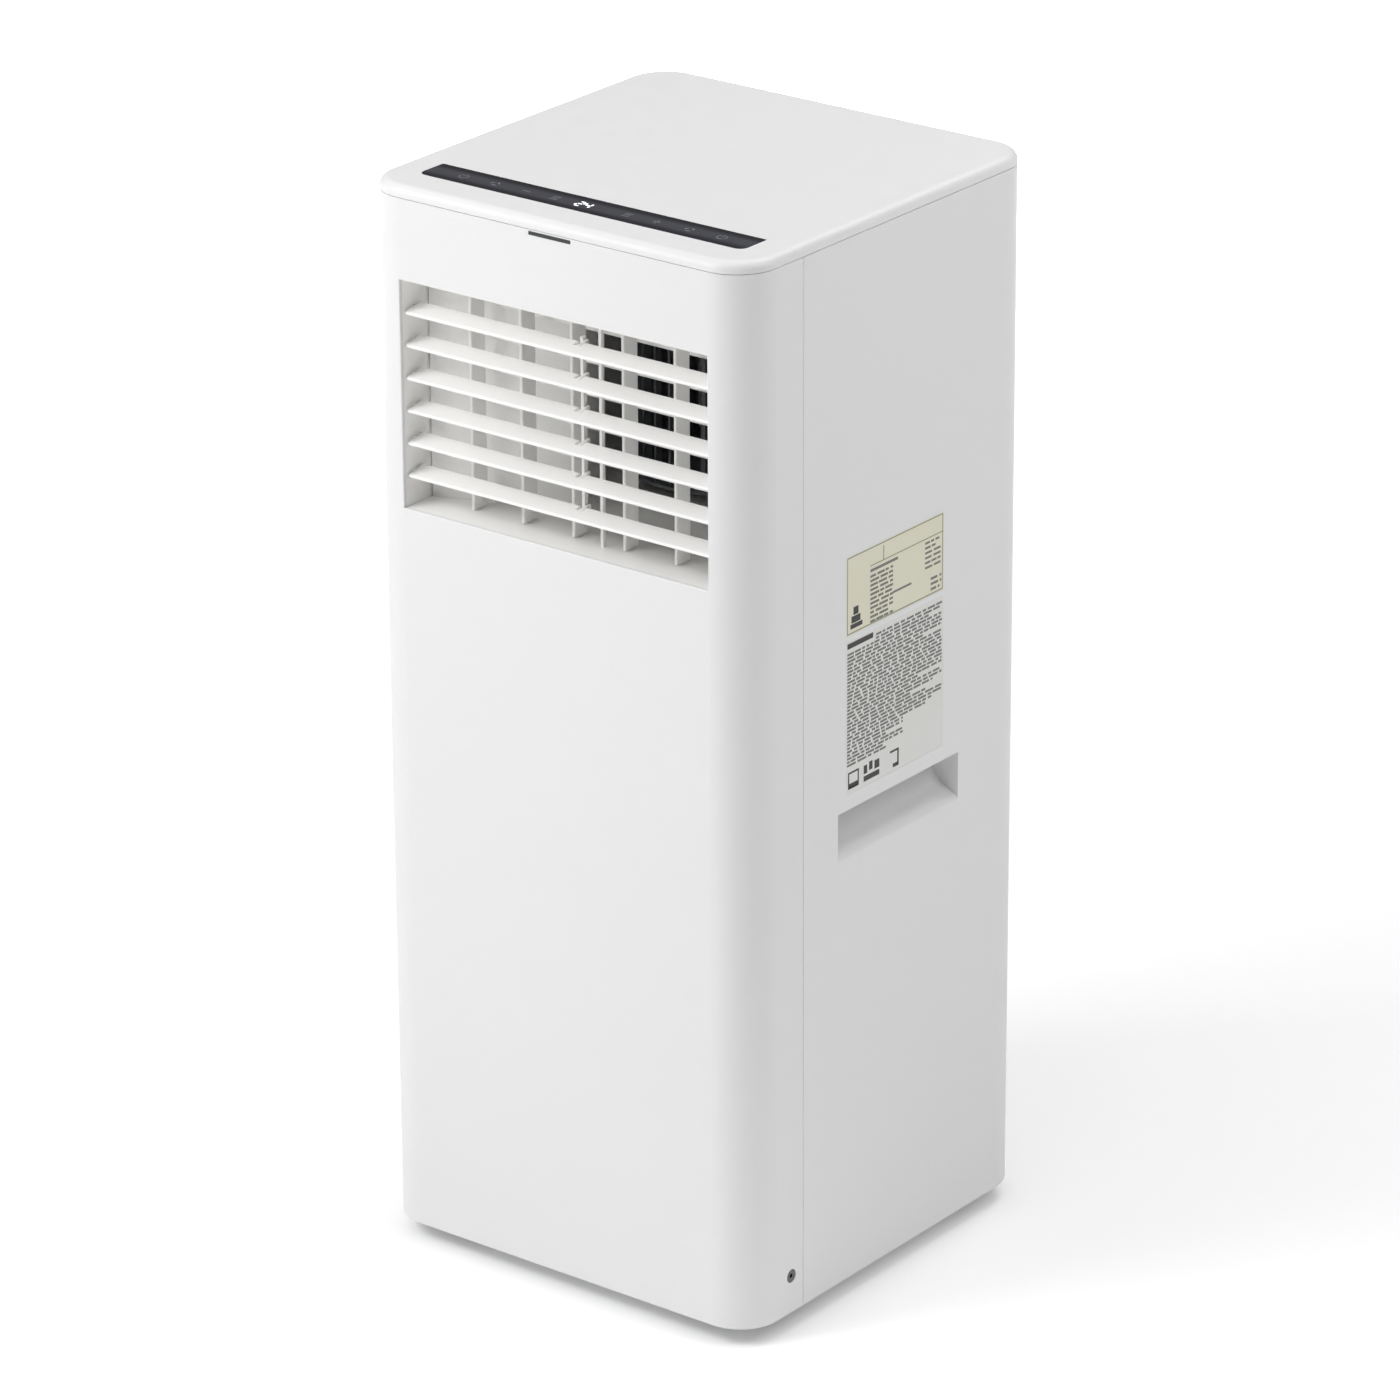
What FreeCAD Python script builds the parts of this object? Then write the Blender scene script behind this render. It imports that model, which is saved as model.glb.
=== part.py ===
import FreeCAD, Part
import math
import os
import re

import Sketcher
from FreeCAD import Placement, Rotation, Vector

# Portable air conditioner on four hidden casters.
# Frame: millimetres, +Z up, the louvred front faces -Y, the origin is on the
# floor under the middle of the casing.

DIMENSIONS = {
    # casing
    "case_width": 290,
    "case_depth": 290,
    "case_top": 700,
    "skirt_gap": 12,
    "corner_radius": 28,
    "wall": 2.5,
    "lid_base": 693,
    "lid_round": 6,
    "lid_lip": 7,
    "lid_inset": 0.3,
    "shell_gap": 0.4,
    "seam_place": 90,
    "edge_break": 0.8,
    # air outlet at the front
    "outlet_half": 116,
    "outlet_low": 495.4,
    "outlet_high": 641.2,
    "sleeve_wall": 2,
    "sleeve_back": 104,
    "rib_place": 21.4,
    "guard_left": 75,
    "guard_rise": 0.7,
    "guard_height": 2.7,
    "guard_deep": 2.2,
    # tilting blades
    "blade_count": 6,
    "blade_pitch": 20.8,
    "blade_low": 516.6,
    "blade_place": 134,
    "blade_chord": 15,
    "blade_thick": 2.2,
    "blade_rest_tilt": 11,
    "pin_radius": 1.5,
    "pin_hole": 1.56,
    "crank_reach": 9.8,
    "crank_pin": 0.9,
    "crank_hole": 0.97,
    "link_place": 8,
    "link_thick": 2,
    # swinging vanes
    "vane_count": 5,
    "vane_pitch": 38.8,
    "vane_shift": -1.5,
    "vane_place": 117.5,
    "vane_chord": 13.5,
    "vane_thick": 2.4,
    "vane_reach": 9.5,
    "vane_link_low": 501,
    "vane_link_high": 504,
    # side grips
    "grip_front": 55,
    "grip_back": 69.5,
    "grip_low": 299.5,
    "grip_high": 329,
    "grip_depth": 21,
    "grip_scoop_round": 20,
    "grip_lip_round": 4,
    # side labels
    "label_front": 47,
    "label_back": 52,
    "rating_low": 442,
    "rating_high": 492.5,
    "notice_low": 339,
    "notice_high": 438,
    "label_thick": 0.3,
    # control strip and badge
    "strip_half": 122,
    "strip_front": 118.6,
    "strip_back": 94.4,
    "strip_thick": 1.5,
    "strip_round": 6,
    "strip_gap": 0.15,
    "badge_half": 15.8,
    "badge_low": 689.3,
    "badge_high": 691.8,
    # rear windows and exhaust
    "window_half": 106,
    "filter_low": 468,
    "filter_high": 667,
    "intake_low": 60,
    "intake_high": 264,
    "grille_thick": 4,
    "slot_pitch": 14,
    "slot_height": 9,
    "exhaust_height": 352,
    "exhaust_bore": 60,
    "collar_outer": 64,
    "collar_length": 26,
    "finger_reach": 2,
    "finger_pitch": 15,
    "finger_bar": 2,
    # casters and base
    "caster_place": 98,
    "pocket_radius": 31,
    "pocket_ceiling": 35.8,
    "wheel_radius": 15,
    "wheel_width": 16,
    "caster_trail": 10,
    "stem_radius": 4,
    "axle_radius": 2.5,
    "running_gap": 0.06,
    "pan_floor": 14,
    "pan_thick": 3,
    # fixing screws
    "screw_place": 102,
    "screw_height": 37.3,
    "screw_radius": 2,
    "screw_head": 4,
    # drain tray, plugs
    "tray_floor": 425,
    "drain_side": 95,
    "drain_bore": 5.5,
    "upper_drain": 438,
    "lower_drain": 25,
    "gland_height": 45,
    "gland_bore": 3.8,
    # blowers
    "fan_side": 10,
    "fan_back": 10,
    "fan_radius": 60,
    "condenser_fan_side": 8,
    "condenser_fan_height": 165,
    "condenser_fan_radius": 56,
    "motor_radius": 37,
    "shaft_radius": 4,
    "fan_blades": 32,
    # refrigerant circuit
    "coil_half": 116,
    "coil_front": 103,
    "coil_thick": 22,
    "compressor_side": 35,
    "compressor_front": 45,
    "compressor_radius": 45,
    "compressor_height": 165,
    "lug_reach": 48,
    "accumulator_radius": 18,
    "pipe_radius": 4,
    "capillary_radius": 1.5,
}

WORD = re.compile(r"[a-z][a-z_]*")

doc = FreeCAD.newDocument("portable_air_conditioner")
sheet = doc.addObject("Spreadsheet::Sheet", "dims")
for row, (alias, number) in enumerate(DIMENSIONS.items(), start=1):
    sheet.set("A%d" % row, alias)
    sheet.set("B%d" % row, str(number))
    sheet.setAlias("B%d" % row, alias)
doc.recompute()

sub_parts = []


def size(alias):
    return float(sheet.get(alias))


def bind(target, prop, formula):
    """Bind a property to a formula written with the sheet's aliases."""
    text = str(formula)
    target.setExpression(prop, WORD.sub(lambda m: qualified(m.group(0)), text))


def qualified(word):
    return "dims." + word if word in DIMENSIONS else word


def listed(sub_part, label):
    """Name a finished sub-part, and list it for export."""
    sub_part.Label = label
    sub_parts.append(sub_part)
    return sub_part


# ---- sketch and feature helpers -------------------------------------------

def origin_item(body, role):
    return [item for item in body.Origin.OriginFeatures if item.Role == role][0]


def sketch_on(body, name, plane, offset="0"):
    sketch = body.newObject("Sketcher::SketchObject", name)
    sketch.AttachmentSupport = (origin_item(body, plane + "_Plane"), [""])
    sketch.MapMode = "FlatFace"
    bind(sketch, "AttachmentOffset.Base.z", offset)
    return sketch


def fix_point(sketch, item, end, across, up):
    for kind, formula in (("DistanceX", across), ("DistanceY", up)):
        index = sketch.addConstraint(Sketcher.Constraint(kind, -1, 1, item, end, 1.0))
        bind(sketch, "Constraints[%d]" % index, formula)


def polygon(sketch, corners):
    """Closed outline through corners, each a pair of formulas."""
    first = sketch.GeometryCount
    count = len(corners)
    for number in range(count):
        start = math.tau * number / count
        end = math.tau * (number + 1) / count
        sketch.addGeometry(Part.LineSegment(
            Vector(10 * math.cos(start), 10 * math.sin(start), 0),
            Vector(10 * math.cos(end), 10 * math.sin(end), 0)))
    for number in range(count):
        following = first + (number + 1) % count
        sketch.addConstraint(Sketcher.Constraint("Coincident", first + number, 2, following, 1))
    for number, (across, up) in enumerate(corners):
        fix_point(sketch, first + number, 1, across, up)


def rectangle(sketch, left, right, low, high):
    polygon(sketch, [(left, low), (right, low), (right, high), (left, high)])


def centred(sketch, half_across, half_up):
    rectangle(sketch, "-(%s)" % half_across, half_across, "-(%s)" % half_up, half_up)


def circle(sketch, across, up, radius):
    item = sketch.addGeometry(Part.Circle(Vector(1, 1, 0), Vector(0, 0, 1), 3.0))
    fix_point(sketch, item, 3, across, up)
    index = sketch.addConstraint(Sketcher.Constraint("Radius", item, 3.0))
    bind(sketch, "Constraints[%d]" % index, radius)


def extrusion(body, kind, name, sketch, length, reverse):
    feature = body.newObject("PartDesign::" + kind, name)
    feature.Profile = sketch
    feature.Reversed = reverse
    bind(feature, "Length", length)
    return feature


def pad(body, name, sketch, length, reverse=False):
    """Add material along the sketch plane's normal, or against it."""
    return extrusion(body, "Pad", name, sketch, length, reverse)


def pocket(body, name, sketch, depth, reverse=False):
    """Cut against the sketch plane's normal, or along it when reversed."""
    doc.recompute()
    before = body.Shape.Volume
    feature = extrusion(body, "Pocket", name, sketch, depth, reverse)
    doc.recompute()
    if body.Shape.Volume >= before:
        raise RuntimeError("%s in %s cuts nothing" % (name, body.Name))
    return feature


def box_pad(body, name, left, right, front, back, low, height):
    outline = sketch_on(body, name + "_outline", "XY", low)
    rectangle(outline, left, right, front, back)
    return pad(body, name, outline, height)


def round_edges(body, name, radius, wanted):
    """Fillet the edges of the body's latest shape that pass the test."""
    doc.recompute()
    base = body.Tip
    edges = []
    for number, edge in enumerate(base.Shape.Edges, start=1):
        if wanted(edge):
            edges.append("Edge%d" % number)
    feature = body.newObject("PartDesign::Fillet", name)
    feature.Base = (base, edges)
    bind(feature, "Radius", radius)
    return feature


def pattern(body, kind, name, originals, **settings):
    feature = body.newObject("PartDesign::" + kind, name)
    feature.Originals = originals
    for key, value in settings.items():
        setattr(feature, key, value)
    body.Tip = feature
    return feature


def new_body(name):
    return doc.addObject("PartDesign::Body", name)


def upright(edge):
    ends = [vertex.Point for vertex in edge.Vertexes]
    if len(ends) < 2:
        return False
    return math.hypot(ends[0].x - ends[1].x, ends[0].y - ends[1].y) < 0.01


def middle(edge):
    return edge.BoundBox.Center


def upright_at(across, back):
    """Test for the upright edges at X = +-across, Y = back."""
    def wanted(edge):
        place = middle(edge)
        return upright(edge) and abs(abs(place.x) - across) < 0.05 and abs(place.y - back) < 0.05
    return wanted


def square_corners(half_width, half_depth):
    """Test for the four upright edges of a centred rectangle."""
    def wanted(edge):
        place = middle(edge)
        return (upright(edge) and abs(abs(place.x) - half_width) < 0.05
                and abs(abs(place.y) - half_depth) < 0.05)
    return wanted


# ---- part primitives -------------------------------------------------------

def primitive(kind, name, place=None, turn=None, **sizes):
    """A Part primitive whose sizes and base point are bound to the sheet."""
    item = doc.addObject("Part::" + kind, name)
    for prop, formula in sizes.items():
        bind(item, prop, formula)
    if turn is not None:
        item.Placement = Placement(Vector(0, 0, 0), turn)
    for letter, formula in zip("xyz", place or ("0", "0", "0")):
        bind(item, "Placement.Base." + letter, formula)
    return item


def block(name, left, right, front, back, low, high):
    return primitive(
        "Box", name, (left, front, low),
        Length="(%s)-(%s)" % (right, left),
        Width="(%s)-(%s)" % (back, front),
        Height="(%s)-(%s)" % (high, low))


def joined(name, *items):
    fuse = doc.addObject("Part::MultiFuse", name)
    fuse.Shapes = list(items)
    return fuse


def removed(name, base, tool):
    cut = doc.addObject("Part::Cut", name)
    cut.Base = base
    cut.Tool = tool
    return cut


LUG_TURN = 30
ALONG_Y = Rotation(Vector(1, 0, 0), -90)
ALONG_X = Rotation(Vector(0, 1, 0), 90)


# ---- casing ----------------------------------------------------------------

def front_shell():
    """Front half of the casing: face, both front corners and short returns."""
    body = new_body("front_shell_body")
    outline = sketch_on(body, "outline", "XY", "skirt_gap")
    rectangle(outline, "-case_width/2", "case_width/2", "-case_depth/2", "-seam_place-shell_gap/2")
    pad(body, "block", outline, "lid_base-shell_gap-skirt_gap")
    inside = sketch_on(body, "inside_outline", "XY", "skirt_gap")
    rectangle(inside, "-case_width/2+wall", "case_width/2-wall",
              "-case_depth/2+wall", "-seam_place-shell_gap/2")
    pocket(body, "inside", inside, "case_top", reverse=True)
    shell_corners(body, -1)
    mouth = sketch_on(body, "mouth_outline", "XZ", "case_depth/2")
    rectangle(mouth, "-outlet_half", "outlet_half", "outlet_low", "outlet_high")
    pocket(body, "mouth", mouth, "2*wall")
    seat = sketch_on(body, "badge_outline", "XZ", "case_depth/2")
    rectangle(seat, "-badge_half", "badge_half", "badge_low", "badge_high")
    pocket(body, "badge_seat", seat, "0.5*wall")
    screw_bosses(body)
    front = -size("case_depth") / 2
    round_edges(body, "mouth_edges", "edge_break",
                lambda e: abs(middle(e).y - front) < 0.01 and size("outlet_low") - 1 < middle(e).z
                < size("outlet_high") + 1 and abs(middle(e).x) < size("outlet_half") + 1)
    bottom_edges(body)
    return listed(body, "front_shell")


def shell_corners(body, side):
    """Round a shell's two corners, first inside and then outside."""
    half_width = size("case_width") / 2
    half_depth = size("case_depth") / 2
    wall = size("wall")
    round_edges(body, "inner_corners", "corner_radius-wall",
                upright_at(half_width - wall, side * (half_depth - wall)))
    round_edges(body, "outer_corners", "corner_radius", upright_at(half_width, side * half_depth))


def bottom_edges(body):
    """Soften the lowest outer edges of a shell."""
    low = size("skirt_gap")
    half_width = size("case_width") / 2
    half_depth = size("case_depth") / 2

    def outermost(edge):
        if abs(edge.BoundBox.ZMax - low) > 0.01:
            return False
        place = edge.valueAt((edge.FirstParameter + edge.LastParameter) / 2)
        reach = size("corner_radius")
        inward_x = max(abs(place.x) - (half_width - reach), 0)
        inward_y = max(abs(place.y) - (half_depth - reach), 0)
        along_seam = abs(abs(place.y) - size("seam_place")) < 1
        return math.hypot(inward_x, inward_y) > reach - 0.1 and not along_seam

    round_edges(body, "bottom_edges", "edge_break", outermost)


def screw_bosses(body):
    """Bosses for the fixing screws, one low on each side."""
    head = sketch_on(body, "boss_outline", "YZ", "case_width/2-0.5*wall")
    circle(head, "-screw_place", "screw_height", "2*screw_head-1")
    boss = pad(body, "boss", head, "7.5", reverse=True)
    sink = sketch_on(body, "sink_outline", "YZ", "case_width/2")
    circle(sink, "-screw_place", "screw_height", "screw_head+0.5")
    sunk = pocket(body, "sink", sink, "wall")
    way = sketch_on(body, "way_outline", "YZ", "case_width/2")
    circle(way, "-screw_place", "screw_height", "screw_radius+0.3")
    through = pocket(body, "way", way, "12")
    pattern(body, "Mirrored", "other_side", [boss, sunk, through],
            MirrorPlane=(origin_item(body, "YZ_Plane"), [""]))


def rear_shell():
    """Rear part of the casing: two sides, the back and both rear corners."""
    body = new_body("rear_shell_body")
    outline = sketch_on(body, "outline", "XY", "skirt_gap")
    rectangle(outline, "-case_width/2", "case_width/2", "-seam_place+shell_gap/2", "case_depth/2")
    pad(body, "block", outline, "lid_base-shell_gap-skirt_gap")
    inside = sketch_on(body, "inside_outline", "XY", "skirt_gap")
    rectangle(inside, "-case_width/2+wall", "case_width/2-wall",
              "-seam_place+shell_gap/2", "case_depth/2-wall")
    pocket(body, "inside", inside, "case_top", reverse=True)
    shell_corners(body, 1)
    side_grips(body)
    rear_openings(body)
    for name, low, high in (("rating", "rating_low", "rating_high"),
                            ("notice", "notice_low", "notice_high")):
        seat = sketch_on(body, name + "_outline", "YZ", "case_width/2")
        rectangle(seat, "-label_front-0.1", "label_back+0.1", low + "-0.1", high + "+0.1")
        pocket(body, name + "_seat", seat, "label_thick")
    bottom_edges(body)
    return listed(body, "rear_shell")


def side_grips(body):
    """A finger grip in each side: a sloped floor and a lip to hook behind."""
    housing = sketch_on(body, "housing_outline", "XZ", "grip_front+wall")
    rectangle(housing, "case_width/2-grip_depth-wall", "case_width/2-0.5*wall",
              "grip_low-wall", "grip_high+8+wall")
    cup = pad(body, "grip_housing", housing, "grip_front+grip_back+2*wall", reverse=True)
    hollow = sketch_on(body, "hollow_outline", "XZ", "grip_front")
    polygon(hollow, [
        ("case_width/2+1", "grip_low"),
        ("case_width/2+1", "grip_high"),
        ("case_width/2-wall", "grip_high"),
        ("case_width/2-wall", "grip_high+8"),
        ("case_width/2-grip_depth", "grip_high+8"),
        ("case_width/2-grip_depth", "grip_high-9"),
        ("case_width/2-0.75*grip_depth", "grip_low+8"),
        ("case_width/2", "grip_low"),
    ])
    scoop = pocket(body, "grip_hollow", hollow, "grip_front+grip_back")
    pattern(body, "Mirrored", "left_grip", [cup, scoop],
            MirrorPlane=(origin_item(body, "YZ_Plane"), [""]))

    def level_edge(low, high, inside):
        def wanted(edge):
            place = middle(edge)
            return (edge.BoundBox.YLength > size("grip_front") + size("grip_back") - 1
                    and size("grip_low") + low < place.z < size("grip_low") + high
                    and abs(place.x) > size("case_width") / 2 - inside)
        return wanted

    round_edges(body, "grip_scoop", "grip_scoop_round", level_edge(5, 24, size("grip_depth") + 1))
    round_edges(body, "grip_lips", "grip_lip_round", level_edge(-0.1, 0.1, 0.1))


def rear_openings(body):
    """Windows for filter, lower grille, exhaust collar, drains and cord."""
    for name, low, high in (("filter", "filter_low", "filter_high"),
                            ("intake", "intake_low", "intake_high")):
        window = sketch_on(body, name + "_outline", "XZ", "-case_depth/2")
        rectangle(window, "-window_half", "window_half", low, high)
        pocket(body, name + "_window", window, "2*wall", reverse=True)
    holes = sketch_on(body, "holes_outline", "XZ", "-case_depth/2")
    circle(holes, "0", "exhaust_height", "collar_outer+0.3")
    circle(holes, "drain_side", "upper_drain", "9.5")
    circle(holes, "drain_side", "lower_drain", "9.5")
    circle(holes, "-drain_side", "gland_height", "8.1")
    pocket(body, "holes", holes, "2*wall", reverse=True)


def top_cover():
    """Flat lid with a rounded rim and a lip that drops inside the shells."""
    body = new_body("top_cover_body")
    slab = sketch_on(body, "slab_outline", "XY", "lid_base")
    centred(slab, "case_width/2", "case_depth/2")
    pad(body, "slab", slab, "case_top-lid_base")
    lip = sketch_on(body, "lip_outline", "XY", "lid_base")
    centred(lip, "case_width/2-wall-lid_inset", "case_depth/2-wall-lid_inset")
    pad(body, "lip", lip, "lid_lip", reverse=True)
    hollow = sketch_on(body, "hollow_outline", "XY", "lid_base-lid_lip")
    centred(hollow, "case_width/2-2*wall-lid_inset", "case_depth/2-2*wall-lid_inset")
    pocket(body, "hollow", hollow, "case_top-lid_base+lid_lip-1.2*wall", reverse=True)
    half_width = size("case_width") / 2
    half_depth = size("case_depth") / 2
    for name, inset in (("hollow_corners", 2 * size("wall") + size("lid_inset")),
                        ("lip_corners", size("wall") + size("lid_inset")),
                        ("corners", 0)):
        round_edges(body, name, "corner_radius-%.2f" % inset,
                    square_corners(half_width - inset, half_depth - inset))
    round_edges(body, "rim", "lid_round", lambda e: e.BoundBox.ZMin > size("case_top") - 0.1)
    seat = sketch_on(body, "strip_outline", "XY", "case_top")
    rectangle(seat, "-strip_half", "strip_half", "-strip_front", "-strip_back")
    pocket(body, "strip_seat", seat, "strip_thick")
    round_edges(body, "seat_corners", "strip_round",
                upright_at(size("strip_half"), -size("strip_front")))
    slot = sketch_on(body, "ribbon_outline", "XY", "case_top")
    rectangle(slot, "-12", "12", "-strip_front+7", "-strip_back-7")
    pocket(body, "ribbon_slot", slot, "2*wall")
    return listed(body, "top_cover")


def control_strip():
    """Glossy touch strip let into the lid."""
    body = new_body("control_strip_body")
    outline = sketch_on(body, "outline", "XY", "case_top-strip_thick")
    rectangle(outline, "-strip_half+strip_gap", "strip_half-strip_gap",
              "-strip_front+strip_gap", "-strip_back-strip_gap")
    pad(body, "plate", outline, "strip_thick-0.1")
    half = size("strip_half") - size("strip_gap")
    round_edges(body, "front_corners", "strip_round-strip_gap",
                upright_at(half, size("strip_gap") - size("strip_front")))
    round_edges(body, "back_corners", "1.5",
                upright_at(half, -size("strip_back") - size("strip_gap")))
    return listed(body, "control_strip")


def control_board():
    """Circuit board under the lid, with the display and the touch pads."""
    body = new_body("control_board_body")
    box_pad(body, "board", "-strip_half+8", "strip_half-8", "-strip_front-1", "-strip_back+1",
            "lid_base-lid_lip-4", "1.6")
    box_pad(body, "display", "-11", "11", "-strip_front+7.5", "-strip_back-7.5",
            "lid_base-lid_lip-2.4", "13")
    touch = sketch_on(body, "touch_outline", "XY", "lid_base-lid_lip-2.4")
    for number in (-3, -2, 2, 3):
        circle(touch, "%d*24" % number, "-(strip_front+strip_back)/2", "5")
    pad(body, "touch_pads", touch, "11")
    return listed(body, "control_board")


def badge_bar():
    """Plain trim bar under the lid's front edge."""
    body = new_body("badge_bar_body")
    outline = sketch_on(body, "outline", "XZ", "case_depth/2-0.5*wall")
    rectangle(outline, "-badge_half+0.15", "badge_half-0.15", "badge_low+0.15", "badge_high-0.15")
    pad(body, "bar", outline, "0.5*wall-0.05")
    return listed(body, "badge_bar")


def side_label(name, low, high):
    body = new_body(name + "_body")
    outline = sketch_on(body, "outline", "YZ", "case_width/2-label_thick")
    rectangle(outline, "-label_front", "label_back", low, high)
    pad(body, "film", outline, "label_thick-0.05")
    return listed(body, name)


# ---- base, casters and screws ----------------------------------------------

CORNER_SIGNS = (("-", "-"), ("", "-"), ("-", ""), ("", ""))


def four_circles(sketch, radius):
    for side, depth in CORNER_SIGNS:
        circle(sketch, side + "caster_place", depth + "caster_place", radius)


def base_pan():
    """Floor of the casing: rim, four caster pockets, screw lugs and a drain."""
    body = new_body("base_pan_body")
    outline = sketch_on(body, "outline", "XY", "pan_floor")
    centred(outline, "case_width/2-wall-lid_inset", "case_depth/2-wall-lid_inset")
    pad(body, "tray", outline, "12")
    inside = sketch_on(body, "inside_outline", "XY", "pan_floor+pan_thick")
    centred(inside, "case_width/2-2*wall-lid_inset", "case_depth/2-2*wall-lid_inset")
    pocket(body, "inside", inside, "30", reverse=True)
    rim = size("wall") + size("lid_inset")
    half_width = size("case_width") / 2 - rim
    half_depth = size("case_depth") / 2 - rim
    round_edges(body, "inside_corners", "corner_radius-2*wall-lid_inset",
                square_corners(half_width - size("wall"), half_depth - size("wall")))
    round_edges(body, "corners", "corner_radius-wall-lid_inset", square_corners(half_width, half_depth))
    cups = sketch_on(body, "cup_outline", "XY", "pan_floor")
    four_circles(cups, "pocket_radius+2")
    pad(body, "cups", cups, "pocket_ceiling+3-pan_floor")
    bosses = sketch_on(body, "boss_outline", "XY", "pocket_ceiling")
    four_circles(bosses, "2.2*stem_radius")
    pad(body, "bosses", bosses, "20")
    wells = sketch_on(body, "well_outline", "XY", "pan_floor")
    four_circles(wells, "pocket_radius")
    pocket(body, "wells", wells, "pocket_ceiling-pan_floor", reverse=True)
    bores = sketch_on(body, "bore_outline", "XY", "pan_floor")
    four_circles(bores, "stem_radius+running_gap")
    pocket(body, "bores", bores, "pocket_ceiling+18-pan_floor", reverse=True)
    lug = box_pad(body, "lug", "case_width/2-12", "case_width/2-9.2",
                  "-screw_place-6", "-screw_place+6", "pan_floor+pan_thick-1", "screw_height+7-pan_floor-2")
    tapped = sketch_on(body, "tapped_outline", "YZ", "case_width/2")
    circle(tapped, "-screw_place", "screw_height", "screw_radius")
    thread = pocket(body, "tapped", tapped, "14")
    pattern(body, "Mirrored", "other_lug", [lug, thread],
            MirrorPlane=(origin_item(body, "YZ_Plane"), [""]))
    drain = sketch_on(body, "drain_outline", "XZ", "-case_depth/2+4")
    circle(drain, "drain_side", "lower_drain", "drain_bore+2.5")
    pad(body, "drain", drain, "6")
    bore = sketch_on(body, "drain_bore_outline", "XZ", "-case_depth/2")
    circle(bore, "drain_side", "lower_drain", "drain_bore")
    pocket(body, "drain_bore", bore, "16", reverse=True)
    return listed(body, "base_pan")


def caster_fork(number, across, back):
    """Swivel fork: stem, crown and two cheeks, with the axle pin across them."""
    name = "caster_fork_%d" % number
    stem = primitive("Cylinder", name + "_stem", ("0", "0", "pocket_ceiling-1"),
                     Radius="stem_radius", Height="18")
    crown = primitive("Cylinder", name + "_crown", ("0", "0", "pocket_ceiling-4"),
                      Radius="wheel_width/2+4", Height="3.4")
    cheeks = []
    for side in (-1, 1):
        inner = "%d*(wheel_width/2+2.25)-1.25" % side
        strut = block("%s_strut_%s" % (name, "lr"[side > 0]), inner, inner + "+2.5",
                      "-4", "caster_trail+5", "wheel_radius", "pocket_ceiling-3")
        eye = primitive("Cylinder", "%s_eye_%s" % (name, "lr"[side > 0]),
                        (inner, "caster_trail", "wheel_radius"), ALONG_X,
                        Radius="5", Height="2.5")
        cheeks += [strut, eye]
    yoke = joined(name + "_yoke", stem, crown, *cheeks)
    drill = primitive("Cylinder", name + "_drill", ("-20", "caster_trail", "wheel_radius"), ALONG_X,
                      Radius="axle_radius", Height="40")
    fork = removed(name + "_drilled", yoke, drill)
    axle = primitive("Cylinder", name + "_axle", ("-wheel_width/2-4.2", "caster_trail", "wheel_radius"),
                     ALONG_X, Radius="axle_radius", Height="wheel_width+8.4")
    group = doc.addObject("Part::Compound", name + "_group")
    group.Links = [fork, axle]
    bind(group, "Placement.Base.x", across)
    bind(group, "Placement.Base.y", back)
    return listed(group, name)


def caster_wheel(number, across, back):
    """Wheel turned about the axle, with a rounded tread."""
    body = new_body("caster_wheel_%d_body" % number)
    outline = sketch_on(body, "outline", "YZ", "-wheel_width/2")
    circle(outline, "0", "0", "wheel_radius")
    circle(outline, "0", "0", "axle_radius+running_gap")
    pad(body, "disc", outline, "wheel_width")
    radius = size("wheel_radius")
    round_edges(body, "tread", "2.5", lambda e: e.BoundBox.YLength > 2 * radius - 0.5)
    bind(body, "Placement.Base.x", across)
    bind(body, "Placement.Base.y", back + "+caster_trail")
    bind(body, "Placement.Base.z", "wheel_radius")
    return listed(body, "caster_wheel_%d" % number)


def casing_screws():
    """The two screws that hold the front shell to the base."""
    screws = []
    for side, sign in (("right", ""), ("left", "-")):
        turn = Rotation(Vector(0, 1, 0), -90 if sign == "" else 90)
        head = primitive("Cylinder", side + "_head",
                         (sign + "(case_width/2-0.4)", "-screw_place", "screw_height"), turn,
                         Radius="screw_head", Height="wall-0.5")
        slot = primitive("Cylinder", side + "_socket",
                         (sign + "(case_width/2-0.3)", "-screw_place", "screw_height"), turn,
                         Radius="1.4", Height="1.3")
        shank = primitive("Cylinder", side + "_shank",
                          (sign + "(case_width/2-1)", "-screw_place", "screw_height"), turn,
                          Radius="screw_radius", Height="11.5")
        screws.append(removed(side + "_screw", joined(side + "_blank", head, shank), slot))
    group = doc.addObject("Part::Compound", "screw_group")
    group.Links = screws
    return listed(group, "casing_screws")


# ---- air outlet: sleeve, blades, vanes and their links ----------------------

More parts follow.
